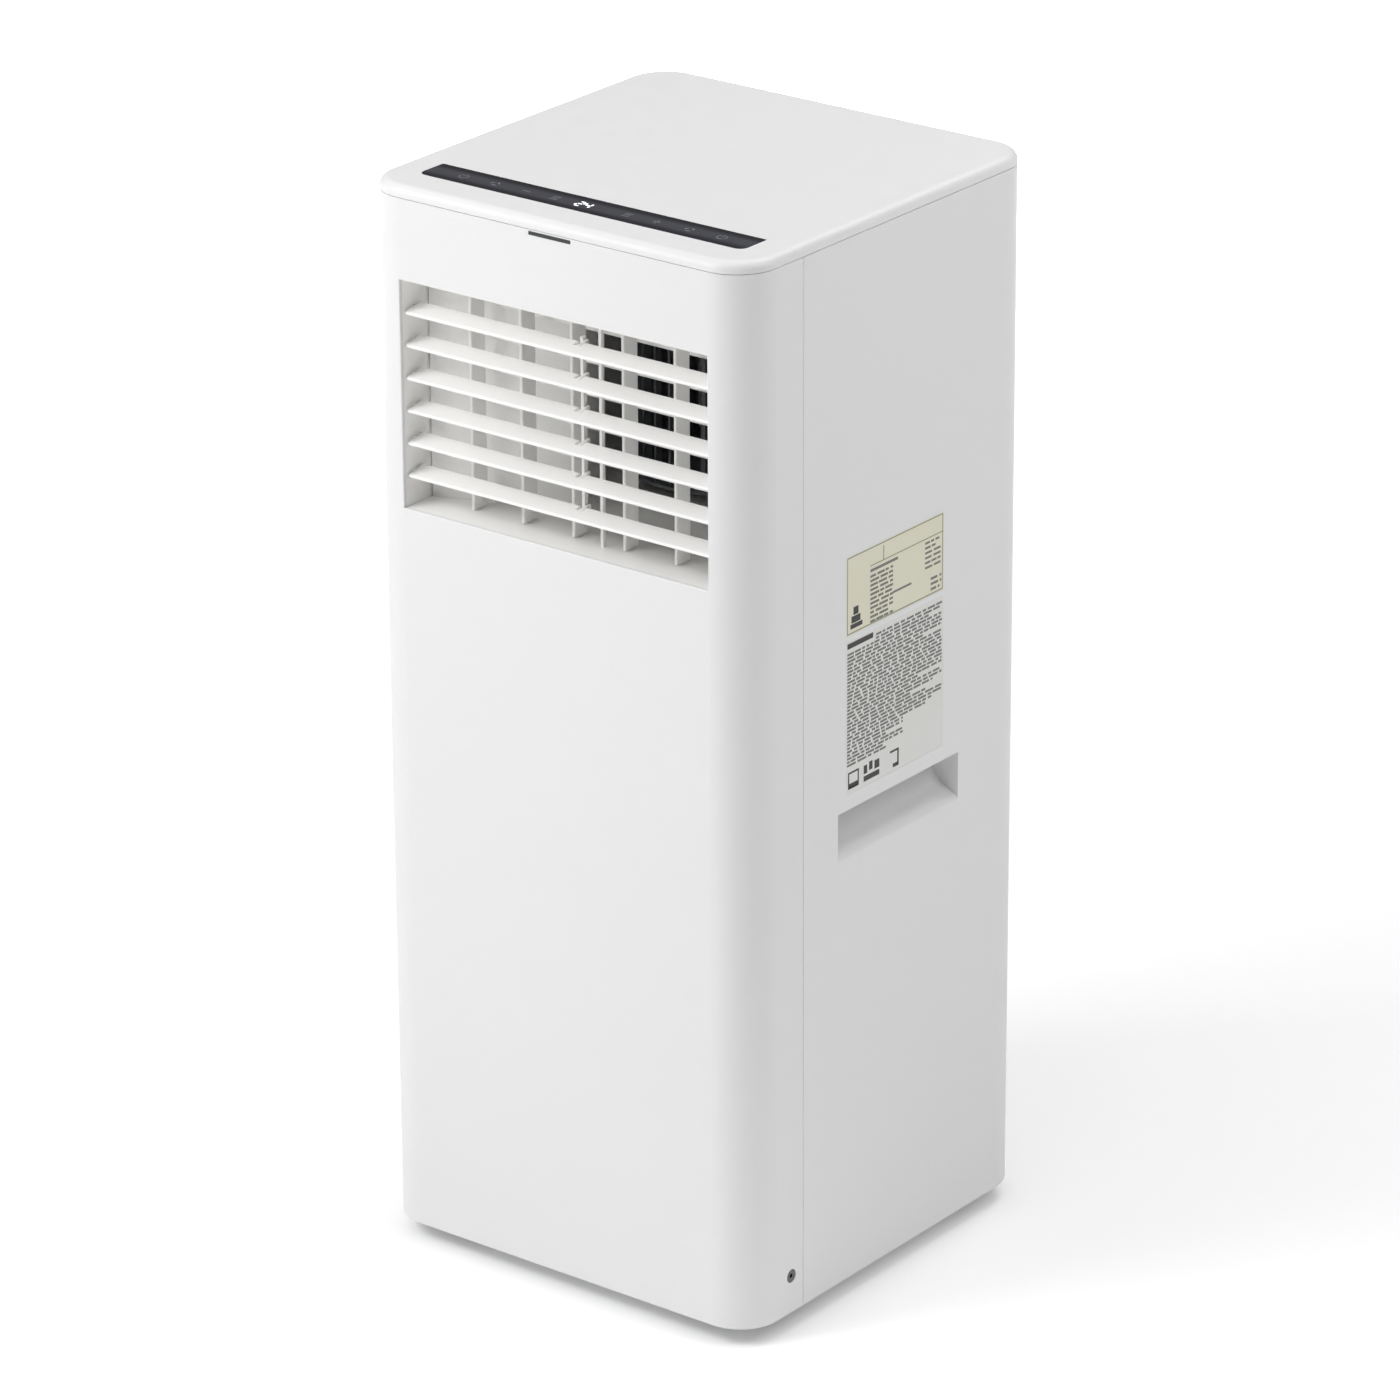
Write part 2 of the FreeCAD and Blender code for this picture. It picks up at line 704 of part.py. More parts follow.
def outlet_frame():
    """Sleeve behind the mouth that carries the blade and vane pivots."""
    body = new_body("outlet_frame_body")
    flange = sketch_on(body, "flange_outline", "XZ", "case_depth/2-wall-2.1")
    rectangle(flange, "-outlet_half-sleeve_wall", "outlet_half+sleeve_wall",
              "outlet_low-8", "outlet_high+8")
    pad(body, "flange", flange, "2")
    sleeve = sketch_on(body, "sleeve_outline", "XZ", "case_depth/2-wall-0.1")
    rectangle(sleeve, "-outlet_half-sleeve_wall", "outlet_half+sleeve_wall",
              "outlet_low-sleeve_wall", "outlet_high+sleeve_wall")
    pad(body, "sleeve", sleeve, "case_depth/2-wall-0.1-sleeve_back", reverse=True)
    bore = sketch_on(body, "bore_outline", "XZ", "case_depth/2")
    rectangle(bore, "-outlet_half", "outlet_half", "outlet_low", "outlet_high")
    pocket(body, "bore", bore, "60")
    box_pad(body, "rib", "rib_place-1", "rib_place+1", "-blade_place+8.5", "-blade_place+11",
            "outlet_low-1", "outlet_high-outlet_low+2")
    blades = sketch_on(body, "blade_holes_outline", "YZ", "-outlet_half-5")
    for number in range(int(size("blade_count"))):
        circle(blades, "-blade_place", "blade_low+%d*blade_pitch" % number, "pin_hole")
    pocket(body, "blade_holes", blades, "2*outlet_half+10", reverse=True)
    vanes = sketch_on(body, "vane_holes_outline", "XY", "outlet_low-5")
    for number in vane_numbers():
        circle(vanes, "%d*vane_pitch+vane_shift" % number, "-vane_place", "pin_hole")
    pocket(body, "vane_holes", vanes, "outlet_high-outlet_low+10", reverse=True)
    return listed(body, "outlet_frame")


def vane_numbers():
    count = int(size("vane_count"))
    return range(-(count // 2), count // 2 + 1)


def blade(number):
    """Tilting blade along X about its pins, notched for the link, with a crank ear."""
    body = new_body("blade_%d_body" % number)
    half = "outlet_half-1.2"
    foil = sketch_on(body, "foil_outline", "YZ", "-(%s)" % half)
    rectangle(foil, "-blade_chord/2", "blade_chord/2", "-blade_thick/2", "blade_thick/2")
    pad(body, "foil", foil, "2*(%s)" % half)
    round_edges(body, "nose", "0.45*blade_thick",
                lambda e: e.BoundBox.XLength > 100)
    notch = sketch_on(body, "notch_outline", "XY", "-blade_thick")
    rectangle(notch, "link_place-link_thick/2-0.5", "link_place+link_thick/2+2.8",
              "0.14*blade_chord", "blade_chord")
    pocket(body, "notch", notch, "2*blade_thick", reverse=True)
    ear = sketch_on(body, "ear_outline", "YZ", "link_place+link_thick/2+0.25")
    rectangle(ear, "0.1*blade_chord", "crank_reach+1.5", "-blade_thick/2", "blade_thick/2")
    pad(body, "ear", ear, "2")
    crank = sketch_on(body, "crank_outline", "YZ", "link_place-link_thick/2-0.3")
    circle(crank, "crank_reach", "0", "crank_pin")
    pad(body, "crank", crank, "link_thick+1")
    pins = sketch_on(body, "pins_outline", "YZ", "-outlet_half-sleeve_wall+0.2")
    circle(pins, "0", "0", "pin_radius")
    pad(body, "left_pin", pins, "sleeve_wall+2")
    far = sketch_on(body, "far_outline", "YZ", "outlet_half+sleeve_wall-0.2")
    circle(far, "0", "0", "pin_radius")
    pad(body, "right_pin", far, "sleeve_wall+2", reverse=True)
    body.Placement = Placement(Vector(0, 0, 0), Rotation(Vector(1, 0, 0), 1.0))
    bind(body, "Placement.Base.y", "-blade_place")
    bind(body, "Placement.Base.z", "blade_low+%d*blade_pitch" % (number - 1))
    bind(body, "Placement.Rotation.Angle", "blade_rest_tilt")
    return listed(body, "blade_%d" % number)


def blade_link():
    """Upright bar that ties the blades' cranks together."""
    body = new_body("blade_link_body")
    bar = sketch_on(body, "bar_outline", "YZ", "link_place-link_thick/2")
    rectangle(bar, "-1.6", "1.6", "-3", "(blade_count-1)*blade_pitch+3")
    pad(body, "bar", bar, "link_thick")
    holes = sketch_on(body, "holes_outline", "YZ", "link_place-link_thick/2")
    for number in range(int(size("blade_count"))):
        circle(holes, "0", "%d*blade_pitch" % number, "crank_hole")
    pocket(body, "holes", holes, "link_thick", reverse=True)
    bind(body, "Placement.Base.y", "-blade_place+crank_reach*cos(blade_rest_tilt)")
    bind(body, "Placement.Base.z", "blade_low+crank_reach*sin(blade_rest_tilt)")
    return listed(body, "blade_link")


def vane(number, slot):
    """Upright vane that swings about its top and bottom pins."""
    body = new_body("vane_%d_body" % number)
    box_pad(body, "plate", "-vane_thick/2", "vane_thick/2", "-vane_chord/2", "vane_chord/2",
            "outlet_low+0.8", "outlet_high-outlet_low-1.6")
    round_edges(body, "edges", "0.45*vane_thick", upright)
    notch = sketch_on(body, "notch_outline", "XY", "vane_link_low-0.6")
    rectangle(notch, "-2*vane_thick", "2*vane_thick", "0.14*vane_chord", "vane_chord")
    pocket(body, "notch", notch, "vane_link_high-vane_link_low+1.4", reverse=True)
    box_pad(body, "ear", "-vane_thick/2", "vane_thick/2", "0.1*vane_chord", "vane_reach+1.6",
            "vane_link_low-2.3", "2")
    crank = sketch_on(body, "crank_outline", "XY", "vane_link_low-1.5")
    circle(crank, "0", "vane_reach", "crank_pin")
    pad(body, "crank", crank, "vane_link_high-vane_link_low+1.9")
    foot = sketch_on(body, "foot_outline", "XY", "outlet_low-sleeve_wall+0.2")
    circle(foot, "0", "0", "vane_thick/2")
    pad(body, "foot_pin", foot, "sleeve_wall+3")
    head = sketch_on(body, "head_outline", "XY", "outlet_high+sleeve_wall-0.2")
    circle(head, "0", "0", "vane_thick/2")
    pad(body, "head_pin", head, "sleeve_wall+3", reverse=True)
    bind(body, "Placement.Base.x", "%d*vane_pitch+vane_shift" % slot)
    bind(body, "Placement.Base.y", "-vane_place")
    return listed(body, "vane_%d" % number)


def vane_link():
    """Level bar that ties the vanes' cranks together."""
    body = new_body("vane_link_body")
    bar = sketch_on(body, "bar_outline", "XY", "vane_link_low")
    half = "(vane_count-1)/2*vane_pitch+2"
    rectangle(bar, "-(%s)" % half, half, "-1.5", "1.5")
    pad(body, "bar", bar, "vane_link_high-vane_link_low")
    holes = sketch_on(body, "holes_outline", "XY", "vane_link_low")
    for number in vane_numbers():
        circle(holes, "%d*vane_pitch" % number, "0", "crank_hole")
    pocket(body, "holes", holes, "vane_link_high-vane_link_low", reverse=True)
    bind(body, "Placement.Base.x", "vane_shift")
    bind(body, "Placement.Base.y", "-vane_place+vane_reach")
    return listed(body, "vane_link")


# ---- blowers -----------------------------------------------------------------

def scroll_path(first_centre, first_radius, growth, lip, mouth_left, mouth_right):
    """Inner line of a blower housing: mouth, lip, three growing quarter turns, mouth."""
    centre = Vector(first_centre[0], first_centre[1], 0)
    radii = [first_radius, first_radius + growth, first_radius + 2 * growth]
    centres = [centre, centre + Vector(growth, 0, 0), centre + Vector(growth, -growth, 0)]
    turns = [(225, 180), (180, 90), (90, 0)]
    edges = []
    turn = math.radians(225)
    start = centre + Vector(radii[0] * math.cos(turn), radii[0] * math.sin(turn), 0)
    corner = Vector(lip[0], lip[1], 0)
    edges.append(Part.LineSegment(Vector(mouth_left[0], mouth_left[1], 0), corner).toShape())
    edges.append(Part.LineSegment(corner, start).toShape())
    for middle_point, radius, (begin, finish) in zip(centres, radii, turns):
        points = []
        for angle in (begin, (begin + finish) / 2, finish):
            points.append(middle_point + Vector(radius * math.cos(math.radians(angle)),
                                                radius * math.sin(math.radians(angle)), 0))
        edges.append(Part.Arc(*points).toShape())
    edges.append(Part.LineSegment(points[-1], Vector(mouth_right[0], mouth_right[1], 0)).toShape())
    return Part.Wire(edges)


def scroll_housing(path, depth, wall, plate_front, inlet, inlet_radius, shaft_hole):
    """Housing of the given inner line: a side wall between two plates."""
    wall_face = path.makeOffset2D(wall, 0, True, True)
    if wall_face.BoundBox.XMin > path.BoundBox.XMin - wall / 2:
        wall_face = path.makeOffset2D(-wall, 0, True, True)
    side = wall_face.extrude(Vector(0, 0, depth))
    ends = [path.OrderedVertexes[-1].Point, path.OrderedVertexes[0].Point]
    closed = Part.Wire(path.OrderedEdges + [Part.LineSegment(*ends).toShape()])
    outline = Part.Face(closed).fuse(wall_face).removeSplitter()
    reach = 400
    behind = Part.makeBox(2 * reach, reach, reach, Vector(-reach, plate_front, -reach / 2))
    lower = outline.extrude(Vector(0, 0, -wall)).common(behind)
    upper = outline.extrude(Vector(0, 0, wall)).common(behind)
    upper.translate(Vector(0, 0, depth))
    centre = Vector(inlet[0], inlet[1], -reach / 2)
    mouth = Part.makeCylinder(inlet_radius, reach, Vector(inlet[0], inlet[1], depth / 2))
    way = Part.makeCylinder(shaft_hole, reach, centre)
    return side.fuse([lower, upper]).cut([mouth, way]).removeSplitter()


def evaporator_scroll():
    """Volute of the cold-air blower, with level finger bars across its mouth.

    Its diffuser wall closes the left of the outlet.
    """
    wall = size("sleeve_wall")
    back = size("sleeve_back")
    path = scroll_path(
        first_centre=(size("fan_side") - 5, size("fan_back") + 5), first_radius=72, growth=10,
        lip=(-29.6, -85.6), mouth_left=(-size("outlet_half") + 1, -119),
        mouth_right=(size("outlet_half"), -back))
    shape = scroll_housing(path, size("outlet_high") - size("outlet_low"), wall, -back,
                           (size("fan_side"), size("fan_back")), size("fan_radius") - 6, 12)
    bars = []
    for number in range(int(size("blade_count"))):
        low = size("blade_low") - size("outlet_low") + number * size("blade_pitch") + size("guard_rise")
        bars.append(Part.makeBox(size("guard_left") + size("outlet_half") + wall / 2, size("guard_deep"),
                                 size("guard_height"), Vector(-size("guard_left"), 0.1 - back, low)))
    item = doc.addObject("Part::Feature", "evaporator_scroll_shape")
    item.Shape = shape.fuse(bars).removeSplitter()
    item.Placement = Placement(Vector(0, 0, size("outlet_low")), Rotation())
    return listed(item, "evaporator_scroll")


def condenser_scroll():
    """Volute of the hot-air blower, blowing upwards into the exhaust duct."""
    wall = size("sleeve_wall")
    mouth = -100
    path = scroll_path(first_centre=(-7, 5), first_radius=68, growth=10, lip=(-10, -63),
                       mouth_left=(-10, mouth), mouth_right=(91, mouth))
    shape = scroll_housing(path, 46, wall, mouth, (0, 0), size("condenser_fan_radius") - 6, 12)
    item = doc.addObject("Part::Feature", "condenser_scroll_shape")
    item.Shape = shape
    item.Placement = Placement(
        Vector(-size("condenser_fan_side"), 50, size("condenser_fan_height")), ALONG_Y)
    return listed(item, "condenser_scroll")


def fan_wheel(name, radius, height, blades):
    """Forward-curved blower wheel about +Z: back disc, hub, blades and front ring."""
    body = new_body(name + "_body")
    disc = sketch_on(body, "disc_outline", "XY", "0")
    circle(disc, "0", "0", radius)
    circle(disc, "0", "0", "shaft_radius")
    pad(body, "disc", disc, "2")
    hub = sketch_on(body, "hub_outline", "XY", "0")
    circle(hub, "0", "0", "3*shaft_radius")
    circle(hub, "0", "0", "shaft_radius")
    pad(body, "hub", hub, "24")
    ring = sketch_on(body, "ring_outline", "XY", "(%s)-3" % height)
    circle(ring, "0", "0", radius)
    circle(ring, "0", "0", "(%s)-6.5" % radius)
    pad(body, "ring", ring, "3")
    outline = sketch_on(body, "blade_outline", "XY", "1")
    polygon(outline, [
        ("(%s)-9" % radius, "-0.6"),
        ("(%s)-4" % radius, "0.2"),
        ("(%s)-1.5" % radius, "2.4"),
        ("(%s)-1.5" % radius, "3.6"),
        ("(%s)-4" % radius, "1.4"),
        ("(%s)-9" % radius, "0.6"),
    ])
    first = pad(body, "blade", outline, "(%s)-2" % height)
    pattern(body, "PolarPattern", "blades", [first],
            Axis=(origin_item(body, "Z_Axis"), [""]), Angle=360, Occurrences=blades)
    return body


def evaporator_fan():
    body = fan_wheel("evaporator_fan", "fan_radius", "118", int(size("fan_blades")))
    bind(body, "Placement.Base.x", "fan_side")
    bind(body, "Placement.Base.y", "fan_back")
    bind(body, "Placement.Base.z", "outlet_low+12")
    return listed(body, "evaporator_fan")


def condenser_fan():
    body = fan_wheel("condenser_fan", "condenser_fan_radius", "38", int(size("fan_blades")))
    body.Placement = Placement(Vector(0, 0, 0), ALONG_Y)
    bind(body, "Placement.Base.x", "-condenser_fan_side")
    bind(body, "Placement.Base.y", "54")
    bind(body, "Placement.Base.z", "condenser_fan_height")
    return listed(body, "condenser_fan")


def blower_motor(name, place, turn):
    """Motor can with a mounting flange and a bore for its shaft, about +Z."""
    can = primitive("Cylinder", name + "_can", Radius="motor_radius", Height="42")
    rim = primitive("Cylinder", name + "_rim", ("0", "0", "40"), Radius="motor_radius+8", Height="2")
    solid = joined(name + "_solid", can, rim)
    way = primitive("Cylinder", name + "_way", ("0", "0", "-5"),
                    Radius="shaft_radius+running_gap", Height="60")
    motor = removed(name + "_bored", solid, way)
    motor.Placement = Placement(Vector(0, 0, 0), turn)
    for letter, formula in zip("xyz", place):
        bind(motor, "Placement.Base." + letter, formula)
    return listed(motor, name)


def evaporator_motor():
    return blower_motor("evaporator_motor",
                        ("fan_side", "fan_back", "outlet_low-sleeve_wall-42"), Rotation())


def condenser_motor():
    return blower_motor("condenser_motor",
                        ("-condenser_fan_side", "6", "condenser_fan_height"), ALONG_Y)


def evaporator_shaft():
    shaft = primitive("Cylinder", "evaporator_shaft_rod",
                      ("fan_side", "fan_back", "outlet_low-sleeve_wall-46"),
                      Radius="shaft_radius", Height="90")
    return listed(shaft, "evaporator_shaft")


def condenser_shaft():
    shaft = primitive("Cylinder", "condenser_shaft_rod",
                      ("-condenser_fan_side", "2", "condenser_fan_height"), ALONG_Y,
                      Radius="shaft_radius", Height="80")
    return listed(shaft, "condenser_shaft")


# ---- rear: exhaust, grille, filter, drains and cord gland --------------------

def exhaust_duct():
    """Box that turns the hot air from the blower's mouth to the round collar."""
    mouth_height = "condenser_fan_height+100.2"
    neck = block("duct_neck", "-condenser_fan_side-12", "-condenser_fan_side+93", "48", "98",
                 mouth_height, "290")
    chest = block("duct_chest", "-72", "-condenser_fan_side+93", "48", "118", "286", "421")
    neck_air = block("duct_neck_air", "-condenser_fan_side-10", "-condenser_fan_side+91",
                     "50", "96", "condenser_fan_height+95", "295")
    chest_air = block("duct_chest_air", "-70", "-condenser_fan_side+91", "50", "116", "288", "419")
    outlet = primitive("Cylinder", "duct_outlet", ("0", "110", "exhaust_height"), ALONG_Y,
                       Radius="exhaust_bore+finger_reach+1.2", Height="20")
    duct = removed("duct_hollow", joined("duct_solid", neck, chest),
                   joined("duct_air", neck_air, chest_air, outlet))
    return listed(duct, "exhaust_duct")


def exhaust_collar():
    """Round socket for the exhaust hose, with a finger guard at its inner end."""
    body = new_body("exhaust_collar_body")
    tube = sketch_on(body, "tube_outline", "XZ", "-case_depth/2+0.1")
    circle(tube, "0", "exhaust_height", "collar_outer")
    pad(body, "tube", tube, "collar_length")
    flange = sketch_on(body, "flange_outline", "XZ", "-case_depth/2+wall+0.2")
    circle(flange, "0", "exhaust_height", "collar_outer+6")
    pad(body, "flange", flange, "2.5")
    bore = sketch_on(body, "bore_outline", "XZ", "-case_depth/2")
    circle(bore, "0", "exhaust_height", "exhaust_bore")
    pocket(body, "bore", bore, "collar_length+1", reverse=True)
    guard = sketch_on(body, "guard_outline", "XZ", "-case_depth/2+0.1+collar_length")
    for number in range(-3, 4):
        centre = "exhaust_height+%d*finger_pitch" % number
        reach = "sqrt((exhaust_bore+finger_reach)^2-(%d*finger_pitch)^2)" % abs(number)
        rectangle(guard, "-" + reach, reach, centre + "-finger_bar/2", centre + "+finger_bar/2")
    pad(body, "guard", guard, "0.8*finger_bar")
    return listed(body, "exhaust_collar")


def slotted_panel(body, low, high, rows):
    """Flat panel in the back wall with rows of slots in two columns."""
    face = sketch_on(body, "face_outline", "XZ", "-case_depth/2+0.2")
    rectangle(face, "-window_half+0.4", "window_half-0.4", low + "+0.4", high + "-0.4")
    pad(body, "face", face, "grille_thick")
    slots = sketch_on(body, "slots_outline", "XZ", "-case_depth/2")
    for side in ("-", ""):
        edges = ["%s%d" % (side, edge) for edge in (4, 96)]
        left, right = (edges[1], edges[0]) if side == "-" else (edges[0], edges[1])
        rectangle(slots, left, right, low + "+11", low + "+11+slot_height")
    cut = pocket(body, "slots", slots, "2*grille_thick", reverse=True)
    pattern(body, "LinearPattern", "rows", [cut],
            Direction=(origin_item(body, "Z_Axis"), [""]),
            Length=(rows - 1) * size("slot_pitch"), Occurrences=rows)


def lower_intake_grille():
    body = new_body("lower_intake_grille_body")
    slotted_panel(body, "intake_low", "intake_high", 13)
    return listed(body, "lower_intake_grille")


def filter_frame():
    """Slotted intake panel that pulls off the back with the filter in it."""
    body = new_body("filter_frame_body")
    slotted_panel(body, "filter_low", "filter_high", 13)
    rim = sketch_on(body, "rim_outline", "XZ", "-case_depth/2+0.2+grille_thick")
    rectangle(rim, "-window_half+0.4", "window_half-0.4", "filter_low+0.4", "filter_high-0.4")
    rectangle(rim, "-window_half+2.4", "window_half-2.4", "filter_low+2.4", "filter_high-2.4")
    pad(body, "rim", rim, "5")
    return listed(body, "filter_frame")


def filter_mesh():
    """Dust filter sheet held in the rim of its frame."""
    body = new_body("filter_mesh_body")
    sheet_outline = sketch_on(body, "sheet_outline", "XZ", "-case_depth/2+0.3+grille_thick")
    rectangle(sheet_outline, "-window_half+2.6", "window_half-2.6", "filter_low+2.6", "filter_high-2.6")
    pad(body, "sheet", sheet_outline, "2")
    return listed(body, "filter_mesh")


def drain_plug(name, height):
    """Rubber plug pushed into a drain spout, with a pull tab on its head."""
    body = new_body(name + "_body")
    head = sketch_on(body, "head_outline", "XZ", "-case_depth/2+0.3")
    circle(head, "0", "0", "9")
    pad(body, "head", head, "2.3")
    stem = sketch_on(body, "stem_outline", "XZ", "-case_depth/2+2")
    circle(stem, "0", "0", "drain_bore-running_gap")
    pad(body, "stem", stem, "9")
    dish = sketch_on(body, "dish_outline", "XZ", "-case_depth/2+0.3")
    circle(dish, "0", "0", "6.5")
    pocket(body, "dish", dish, "1.2", reverse=True)
    tab = sketch_on(body, "tab_outline", "XZ", "-case_depth/2+0.3")
    rectangle(tab, "-1.2", "1.2", "-6.8", "6.8")
    pad(body, "tab", tab, "1.3")
    bind(body, "Placement.Base.x", "drain_side")
    bind(body, "Placement.Base.z", height)
    return listed(body, name)


def cord_gland():
    """Inlet bush for the supply cord in the back wall."""
    body = new_body("cord_gland_body")
    outer = sketch_on(body, "outer_outline", "XZ", "-case_depth/2+0.3")
    circle(outer, "-drain_side", "gland_height", "7.9")
    pad(body, "sleeve", outer, "9")
    flange = sketch_on(body, "flange_outline", "XZ", "-case_depth/2+wall+0.3")
    circle(flange, "-drain_side", "gland_height", "10.5")
    pad(body, "flange", flange, "2.5")
    bore = sketch_on(body, "bore_outline", "XZ", "-case_depth/2")
    circle(bore, "-drain_side", "gland_height", "gland_bore")
    pocket(body, "bore", bore, "14", reverse=True)
    return listed(body, "cord_gland")


# ---- refrigerant circuit and electrics ---------------------------------------

def coil(name, low, high, rows):
    """Finned block with end plates and return bends."""
    back = "coil_front+coil_thick"
    fins = block(name + "_fins", "-coil_half+3", "coil_half-3", "coil_front", back, low, high)
    left_plate = block(name + "_left_plate", "-coil_half", "-coil_half+3",
                       "coil_front-1", back + "+1", low + "-2", high + "+2")
    right_plate = block(name + "_right_plate", "coil_half-3", "coil_half",
                        "coil_front-1", back + "+1", low + "-2", high + "+2")
    bends = []
    for number in range(rows):
        bend = primitive("Torus", "%s_bend_%d" % (name, number),
                         ("coil_half-1", "coil_front+coil_thick/2", "%s+24+%d*36" % (low, number)),
                         ALONG_Y, Radius1="8", Radius2="pipe_radius-0.5")
        bends.append(bend)
    return listed(joined(name + "_solid", fins, left_plate, right_plate, *bends), name)


def drain_deck():
    """Tray between the two compartments that catches the condensate."""
    body = new_body("drain_deck_body")
    box_pad(body, "tray", "-136", "136", "-100", "130", "tray_floor", "24")
    inside = sketch_on(body, "inside_outline", "XY", "tray_floor+3")
    rectangle(inside, "-134", "134", "-98", "128")
    pocket(body, "inside", inside, "40", reverse=True)
    ways = sketch_on(body, "ways_outline", "XY", "tray_floor")
    circle(ways, "-128", "-90", "pipe_radius+2")
    circle(ways, "-130", "119", "pipe_radius")
    pocket(body, "ways", ways, "5", reverse=True)
    collars = sketch_on(body, "collars_outline", "XY", "tray_floor")
    circle(collars, "-128", "-90", "pipe_radius+3.5")
    circle(collars, "-128", "-90", "pipe_radius+2")
    circle(collars, "-130", "119", "pipe_radius+1.5")
    circle(collars, "-130", "119", "pipe_radius")
    pad(body, "collars", collars, "16")
    spout = sketch_on(body, "spout_outline", "XZ", "-case_depth/2+4")
    circle(spout, "drain_side", "upper_drain", "drain_bore+2.5")
    pad(body, "spout", spout, "13")
    bore = sketch_on(body, "bore_outline", "XZ", "-case_depth/2+4")
    circle(bore, "drain_side", "upper_drain", "drain_bore")
    pocket(body, "bore", bore, "16", reverse=True)
    return listed(body, "drain_deck")


def compressor():
    """Hermetic compressor can with domed ends on a three-lobed foot plate."""
    body = new_body("compressor_body")
    foot = "pan_floor+pan_thick+10"
    outline = sketch_on(body, "can_outline", "XY", foot + "+8")
    circle(outline, "0", "0", "compressor_radius")
    pad(body, "can", outline, "compressor_height-20")
    round_edges(body, "domes", "0.5*compressor_radius", lambda e: e.BoundBox.XLength > 60)
    post = sketch_on(body, "post_outline", "XY", foot)
    circle(post, "0", "0", "0.6*compressor_radius")
    pad(body, "post", post, "20")
    stub = sketch_on(body, "stub_outline", "XY", foot + "+compressor_height-22")
    circle(stub, "15", "2", "pipe_radius+1.5")
    pad(body, "stub", stub, "18")
    lug = box_pad(body, "lug", "0", "lug_reach+8", "-9", "9", foot, "3")
    pattern(body, "PolarPattern", "lugs", [lug],
            Axis=(origin_item(body, "Z_Axis"), [""]), Angle=360, Occurrences=3)
    bind(body, "Placement.Base.x", "-compressor_side")
    bind(body, "Placement.Base.y", "-compressor_front")
    body.Placement = Placement(body.Placement.Base, Rotation(Vector(0, 0, 1), LUG_TURN))
    return listed(body, "compressor")


def compressor_grommets():
    """Rubber feet under the compressor's lugs."""
    feet = []
    for number in range(3):
        angle = math.radians(LUG_TURN + 120 * number)
        foot = primitive("Cylinder", "grommet_%d" % number, (
            "-compressor_side+lug_reach*(%.6f)" % math.cos(angle),
            "-compressor_front+lug_reach*(%.6f)" % math.sin(angle),
            "pan_floor+pan_thick"), Radius="8", Height="10")
        feet.append(foot)
    group = doc.addObject("Part::Compound", "grommet_group")
    group.Links = feet
    return listed(group, "compressor_grommets")


def accumulator():
    """Liquid separator beside the compressor."""
    body = new_body("accumulator_body")
    outline = sketch_on(body, "outline", "XY", "60")
    circle(outline, "0", "0", "accumulator_radius")
    pad(body, "can", outline, "110")
    round_edges(body, "ends", "0.5*accumulator_radius", lambda e: e.BoundBox.XLength > 30)
    bracket = sketch_on(body, "bracket_outline", "XZ", "-2")
    rectangle(bracket, "-16", "0", "100", "116")
    pad(body, "bracket", bracket, "4")
    bind(body, "Placement.Base.x", "-compressor_side+compressor_radius+accumulator_radius+2")
    bind(body, "Placement.Base.y", "-compressor_front")
    return listed(body, "accumulator")


def tube(name, points, radius, bend):
    """Round tube along straight runs joined by bends of one radius."""
    corners = [Vector(*point) for point in points]
    edges = []
    here = corners[0]
    for before, at, after in zip(corners, corners[1:], corners[2:]):
        toward = (at - before).normalize()
        away = (after - at).normalize()
        turn = math.acos(max(-1, min(1, toward.dot(away))))
        cutback = bend * math.tan(turn / 2)
        enter = at - toward * cutback
        leave = at + away * cutback
        inward = (away - toward).normalize()
        crown = at + inward * (bend / math.cos(turn / 2) - bend)
        edges.append(Part.LineSegment(here, enter).toShape())
        edges.append(Part.Arc(enter, crown, leave).toShape())
        here = leave
    edges.append(Part.LineSegment(here, corners[-1]).toShape())
    path = Part.Wire(edges)
    section = Part.Wire([Part.makeCircle(radius, corners[0], (corners[1] - corners[0]).normalize())])
    shape = path.makePipeShell([section], True, True)
    ideal = math.pi * radius ** 2 * path.Length
    if abs(shape.Volume - ideal) > 0.02 * ideal:
        raise RuntimeError("%s has the wrong volume" % name)
    item = doc.addObject("Part::Feature", name + "_shape")
    item.Shape = shape
    item.Placement = Placement()
    return listed(item, name)


def pipework():
    """Discharge, suction and capillary lines between compressor and coils."""
    radius = size("pipe_radius")
    coil_end = -size("coil_half")
    middle_depth = size("coil_front") + size("coil_thick") / 2
    foot = size("pan_floor") + size("pan_thick") + 10
    turn = Rotation(Vector(0, 0, 1), LUG_TURN)
    outlet = turn.multVec(Vector(15, 2, 0)) - Vector(size("compressor_side"), size("compressor_front"), 0)
    top = foot + size("compressor_height") - 4
    tube("discharge_line", [
        (outlet.x, outlet.y, top),
        (outlet.x, outlet.y, 240),
        (-131, outlet.y, 240),
        (-131, middle_depth, 240),
        (coil_end, middle_depth, 240),
    ], radius, 11)
    separator = -size("compressor_side") + size("compressor_radius") + size("accumulator_radius") + 2
    tube("suction_line", [
        (separator, -size("compressor_front"), 170),
        (separator, -size("compressor_front"), 272),
        (separator, -90, 272),
        (-128, -90, 272),
        (-128, -90, 475),
        (-128, middle_depth, 475),
        (coil_end, middle_depth, 475),
    ], radius, 11)
    tube("capillary_tube", [
        (coil_end, 119, 80),
        (-130, 119, 80),
        (-130, 119, 455),
        (coil_end, 119, 455),
    ], size("capillary_radius"), 8)


def electrical_box():
    """Open-fronted box for the power electronics."""
    solid = block("box_solid", "48", "132", "-132", "-64", "110", "300")
    air = block("box_air", "50", "130", "-140", "-66", "112", "298")
    return listed(removed("box_hollow", solid, air), "electrical_box")


